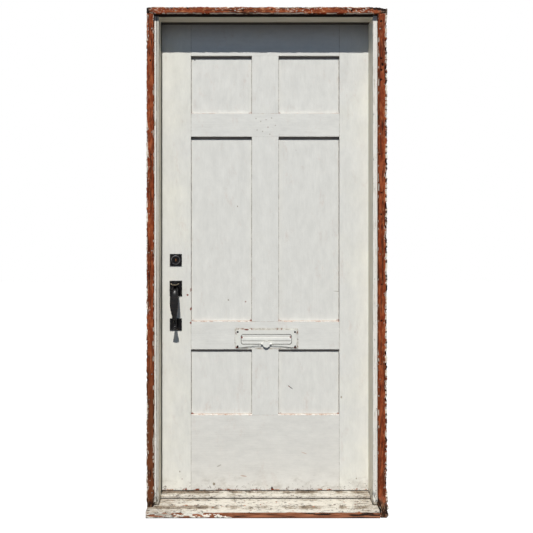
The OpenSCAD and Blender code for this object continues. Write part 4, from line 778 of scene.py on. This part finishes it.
# The skin's section runs down the slope, round the nose and down its face; it is carried along X and flaked
skinSet = {"thickness": 0.0012, "clear": 0.0005, "noseRound": 0.004, "noseTop": 0.026, "foot": 0.0008,
           "end": 0.001, "points": (760, 44, 7, 17), "seed": 21.0, "kept": 0.8, "noseKept": 0.56,
           "wedge": (-0.205, -0.12), "cell": (0.022, 0.006), "noseFrom": (0.0238, 0.0215), "noseBack": -0.03}
along, down, bends, fall = skinSet["points"]
bend = np.linspace(0, np.pi / 2, bends)
noseRound, noseTop = skinSet["noseRound"], skinSet["noseTop"]
rise = (sillHi.z - noseTop) / (stepLo.y - sillLo.y)
noseY = sillLo.y + noseRound
slope = np.linspace(stepLo.y - skinSet["clear"], noseY, down)[:-1]
edgeZ = noseTop + rise * noseRound - noseRound
faceZ = np.linspace(edgeZ, skinSet["foot"], fall)[1:]
pathY = np.concatenate([slope, noseY - noseRound * np.sin(bend), 0 * faceZ + sillLo.y])[None, :]
slopeZ = noseTop + rise * (slope - sillLo.y)
pathZ = np.concatenate([slopeZ, edgeZ + noseRound * np.cos(bend), faceZ])[None, :]
normalY = np.concatenate([0 * slope - 0.07, -np.sin(bend), 0 * faceZ - 1])[None, :]
normalZ = np.concatenate([0 * slope + 1, np.cos(bend), 0 * faceZ])[None, :]
normal = np.stack([0 * normalY, normalY, normalZ], -1)
outside = pathY < -0.001  # in front of the jambs the skin runs on to the horn and the casing
sideX = jambIn - skinSet["clear"]
x = np.linspace(sillLo.x + skinSet["end"], casingIn - skinSet["end"], along)[:, None]
x = np.clip(x, np.where(outside, sillLo.x, -sideX), np.where(outside, casingIn, sideX))
onNose = ease(pathZ, *skinSet["noseFrom"]) * (pathY < skinSet["noseBack"])
gone = (1 - skinSet["kept"]) * (1 - onNose) + (1 - skinSet["noseKept"]) * onNose
wavy = 0.012 * (ragged(x / 0.02, pathZ / 0.005, 5.0) - 0.5)
bare = ease(x - 2.2 * (0.024 - pathZ) + wavy, *skinSet["wedge"])  # the nose is bare right of a slanting line
cellX, cellDown = skinSet["cell"]
kept = ragged(x / cellX, (pathY - pathZ) / cellDown, skinSet["seed"]) - gone - bare * onNose * 0.9
points = np.stack([x, pathY + 0 * x, pathZ + 0 * x], -1)
sillLook = sillPaint("sillPaint", sillSet["soiled"], sillSet["lines"])
paintSkin("sill_skin", points[:, ::-1], normal[:, ::-1], kept[:, ::-1], skinSet["thickness"], sillLook)
print("stage: sill made")

# Metals: black iron with brown wear, dull steel and brass
ironSet = {"black": lin(17, 16, 17), "worn": lin(58, 47, 38), "rim": lin(94, 94, 96),
           "tan": lin(202, 184, 148), "brass": lin(150, 98, 54), "rough": 0.3, "shine": 0.1, "hammer": 0.35}


# wear lays a colour near a sphere about a middle: a painted highlight on the collar's rim round the lock, a
# rubbed dish lightened as a painted highlight, or a brass key slot
def ironFinish(name, wear=None, rough=ironSet["rough"], hammer=ironSet["hammer"], shine=ironSet["shine"]):
    iron = Finish(name, ironSet, rough, shine)
    cloud = iron.noise(iron.place, 60.0, 5.0, 0.65)
    iron.color = iron.blend(iron.ramp(cloud, 0.52, 0.75, 0.0, 0.6), ironSet["black"], ironSet["worn"])
    if wear:
        away = iron.vector("DISTANCE", iron.scaled(iron.place, wear["axes"]), wear["middle"])["Value"]
        band = iron.fade(iron.gap(away, wear["radius"]), wear["half"] * 0.5, wear["half"])
        masks = [band, iron.ramp(cloud, 0.36, 0.56, wear["least"], 1.0)]
        if "beyond" in wear:  # only outside a cylinder about Z
            middle, radius = wear["beyond"]
            plan = iron.vector("DISTANCE", iron.scaled(iron.place, (1.0, 1.0, 0.0)), middle)["Value"]
            masks.append(iron.ramp(plan, radius, radius + 0.002))
        iron.lay(wear["color"], *masks)
    iron.feed(iron.inputs["Roughness"], iron.ramp(cloud, 0.3, 0.7, rough - 0.08, rough + 0.12))
    grit = iron.noise(iron.place, 420.0, 3.0, 0.6)
    return iron.done(iron.calc("MULTIPLY_ADD", grit, 0.4, cloud), 0.0008, hammer)


metalSet = {"steel": (lin(150, 148, 144), lin(104, 96, 86), 0.42),
            "brass": (lin(176, 136, 74), lin(112, 82, 46), 0.4)}


def metalFinish(name, clean, dull, rough):
    metal = Finish(name, rough=rough, shine=0.5, metallic=1.0)
    cloud = metal.noise(metal.place, 80.0, 5.0, 0.7)
    metal.color = metal.blend(metal.ramp(cloud, 0.35, 0.7), clean, dull)
    metal.feed(metal.inputs["Roughness"], metal.ramp(cloud, 0.3, 0.7, rough - 0.08, rough + 0.15))
    return metal.done(metal.noise(metal.place, (900.0, 900.0, 60.0), 3.0, 0.6), 0.0002, 0.3)


iron = ironFinish("blackIron")
steel = metalFinish("dullSteel", *metalSet["steel"])
brass = metalFinish("oldBrass", *metalSet["brass"])
for name in ("deadbolt_plate", "deadbolt_cylinder", "deadbolt_rose", "handle_upper_plate", "knob_rose",
             "inside_knob", "thumb_turn"):
    looks[name] = iron
for name in ("latch_bolt", "deadbolt_bolt"):
    looks[name] = brass
looks["handle_lower_plate"] = ironFinish("hammeredIron", hammer=0.9)
looks["mail_screws"] = ironFinish("rustyScrews", rough=0.6)
lockX, _, lockZ = next(joint["pos_m"] for joint in frame["joints"] if joint["name"] == "key_turn")
slotTall = 0.45  # the key slot's width over its height
# painted highlight: a grey ring on the collar's rim
collarHighlight = {"axes": (1.0, 0.0, 1.0), "middle": (lockX, 0.0, lockZ), "radius": 0.0185, "half": 0.0026,
              "least": 0.35, "color": "rim"}
slotWear = {"axes": (1.0, 0.0, slotTall), "middle": (lockX, 0.0, lockZ * slotTall), "radius": 0.0,
            "half": 0.0032, "least": 0.7, "color": "brass"}
# a pale crescent on the thumbpiece's dish: rubbed metal, lightened as a painted highlight
dishWearAndHighlight = {"axes": (1.0, 1.0, 1.0), "middle": (lockX, 0.03992, 0.9673), "radius": 0.0258, "half": 0.0018,
            "least": 0.8, "color": "tan", "beyond": ((lockX, 0.052, 0.0), 0.0155)}
looks["deadbolt_collar"] = ironFinish("rubbedCollar", collarHighlight)
looks["key_plug"] = ironFinish("keyPlug", slotWear)
looks["thumbpiece"] = ironFinish("rubbedDish", dishWearAndHighlight)

# Grip: an ellipse carried down a spline through rows of shares of reach, fall, width and thickness
boltLo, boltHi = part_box("grip_bolt")
gripSet = {"plate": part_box("handle_upper_plate")[0].y, "foot": (boltLo.z + boltHi.z) / 2, "span": 0.154,
           "reach": 0.049, "width": 0.036, "thick": 0.018, "post": 0.0065, "postY": 0.0533, "end": 0.7,
           "rough": 0.28, "hammer": 0.12, "shine": 0.2, "points": (170, 44, 32),
           "shares": ((0, 0, 0.62, 0.9), (0.36, -0.02, 0.72, 0.95), (0.67, 0.03, 0.84, 1),
                      (0.865, 0.13, 0.94, 0.97), (0.968, 0.25, 1, 0.88), (1, 0.37, 0.99, 0.79),
                      (0.957, 0.51, 0.9, 0.71), (0.838, 0.65, 0.7, 0.66), (0.654, 0.78, 0.5, 0.62),
                      (0.46, 0.88, 0.41, 0.6), (0.35, 0.97, 0.36, 0.56), (0.44, 1.05, 0.42, 0.46),
                      (0.66, 1.085, 0.64, 0.4), (0.84, 1.08, 0.72, 0.34), (0.93, 1.06, 0.5, 0.22))}
rows = np.array(gripSet["shares"], float)
rows = np.concatenate([rows[:1], rows, rows[-1:]])
u = np.linspace(0, len(rows) - 3 - 1e-9, gripSet["points"][0])
i = np.floor(u).astype(int)
t = (u % 1)[:, None]
p0, p1, p2, p3 = [rows[i + k] for k in range(4)]
square = 2 * p0 - 5 * p1 + 4 * p2 - p3
cube = 3 * p1 - p0 - 3 * p2 + p3
shares = (2 * p1 + (p2 - p0) * t + square * t ** 2 + cube * t ** 3) / 2
lineY = gripSet["plate"] - shares[:, 0] * gripSet["reach"]
lineZ = gripSet["foot"] + gripSet["span"] - shares[:, 1] * gripSet["span"]
line = np.stack([lineY, lineZ], -1)
way = np.gradient(line, axis=0)
way[0] = (-1, 0)
way /= np.linalg.norm(way, axis=1)[:, None]
closing = np.clip((u - u[-1]) / gripSet["end"] + 1, 0, 1)
closed = np.sqrt(np.clip(1 - closing ** 2, 0.004, 1))[:, None]
angle = np.linspace(0, 2 * np.pi, gripSet["points"][1] + 1)[None, :-1]
across = np.cos(angle) * shares[:, 2:3] * gripSet["width"] / 2 * closed
lift = np.sin(angle) * shares[:, 3:4] * gripSet["thick"] / 2 * closed
swept = np.stack([lockX + across, line[:, :1] - way[:, 1:] * lift, line[:, 1:] + way[:, :1] * lift], -1)
angle = np.linspace(0, 2 * np.pi, gripSet["points"][2] + 1)[None, :-1]
postY = np.linspace(gripSet["postY"], gripSet["plate"], 5)[:, None] + 0 * angle
postX, postZ = [gripSet["post"] * part + 0 * postY for part in (np.cos(angle), np.sin(angle))]
post = np.stack([lockX + postX, postY, gripSet["foot"] + postZ], -1)
gripLook = ironFinish("gripIron", rough=gripSet["rough"], hammer=gripSet["hammer"], shine=gripSet["shine"])
gridPiece("handle_grip_smooth", [swept, post], gripLook, "leaf", stands=("handle_grip",))
looks["handle_grip"] = gripLook


# Mail plate: the door's paint over metal, a dark line round the flap as painted shade of its gap, rubbed to
# red at its edges
def mailPaint(name, marks, lit):
    paint = Finish(name, mailSet, mailSet["rough"], mailSet["shine"])
    z, place, middleX = paint.z, paint.place, mailSet["middle"][0]
    cloud = paint.noise(place, 40.0, 5.0, 0.65)
    paint.color = paint.blend(paint.ramp(cloud, 0.35, 0.7), lit, leafSet["white"])
    fromMiddle = paint.gap(paint.x, middleX)
    onTab = paint.fade(fromMiddle, mailSet["tabHalf"], mailSet["tabHalf"] + 0.0015)
    onTab = paint.times(onTab, paint.ramp(z, mailSet["tabTop"], mailSet["tabTop"] - 0.002))
    # painted shade: a dark line round the flap where its gap is shaded, left off across the tab
    away = paint.outline((middleX, 0.0, mailSet["flapZ"]), mailSet["flapHalf"], mailSet["flapRadius"])
    flapGapShade = paint.fade(away, mailSet["lineHalf"] * 0.5, mailSet["lineHalf"], 0.9)
    paint.lay("dark", flapGapShade, paint.less(1.0, onTab))
    # painted shade: grey lines along the edges of the flap's raised band
    onBand = paint.fade(fromMiddle, mailSet["bandHalf"], mailSet["bandHalf"] + 0.006)
    for height in mailSet["bandLines"]:
        paint.lay(leafSet["dirt"], paint.fade(paint.gap(z, height), 0.0006, 0.0022, 0.45), onBand)
    outer = paint.outline(mailSet["middle"], mailSet["half"], mailSet["radius"])
    paint.lay(leafSet["dirt"], paint.fade(outer, 0.003, 0.008), paint.ramp(cloud, 0.4, 0.6, 0.15, 0.6))
    paint.lay("red", paint.flakes((75.0, 75.0, 75.0), paint.ramp(outer, 0.0, 0.012, 0.45, 0.3)), 0.8)
    for markX, markZ, halfX, halfZ in marks:
        paint.lay("red", paint.mark((markX, 0.0, markZ), halfX, halfZ))
    return paint.done(cloud, 0.0008, 0.4)


# marks as X, Z, half width and half height; the flap shares two of them
flapMarks = ((-0.101, 0.713, 0.0035, 0.006), (0.1085, 0.714, 0.0032, 0.0055))
plateMarks = ((-0.081, 0.7455, 0.011, 0.0032), (-0.1, 0.748, 0.008, 0.0018), *flapMarks,
              (-0.127, 0.728, 0.002, 0.007), (0.139, 0.73, 0.002, 0.009), (0.129, 0.669, 0.006, 0.005),
              (-0.122, 0.669, 0.006, 0.005))
looks["mail_plate"] = mailPaint("mailPlatePaint", plateMarks, mailSet["lit"])
# the flap's paint is lighter than the plate's: painted light where its bulge catches the key light
looks["mail_flap"] = mailPaint("mailFlapPaint", flapMarks, mailSet["flapLit"])
looks["mail_inner_plate"] = mailPaint("mailInnerPaint", (), leafSet["white"])
for name, piece in nodes.items():
    piece.data.materials.clear()
    piece.data.materials.append(looks.get(name, steel))
print("stage: materials made")
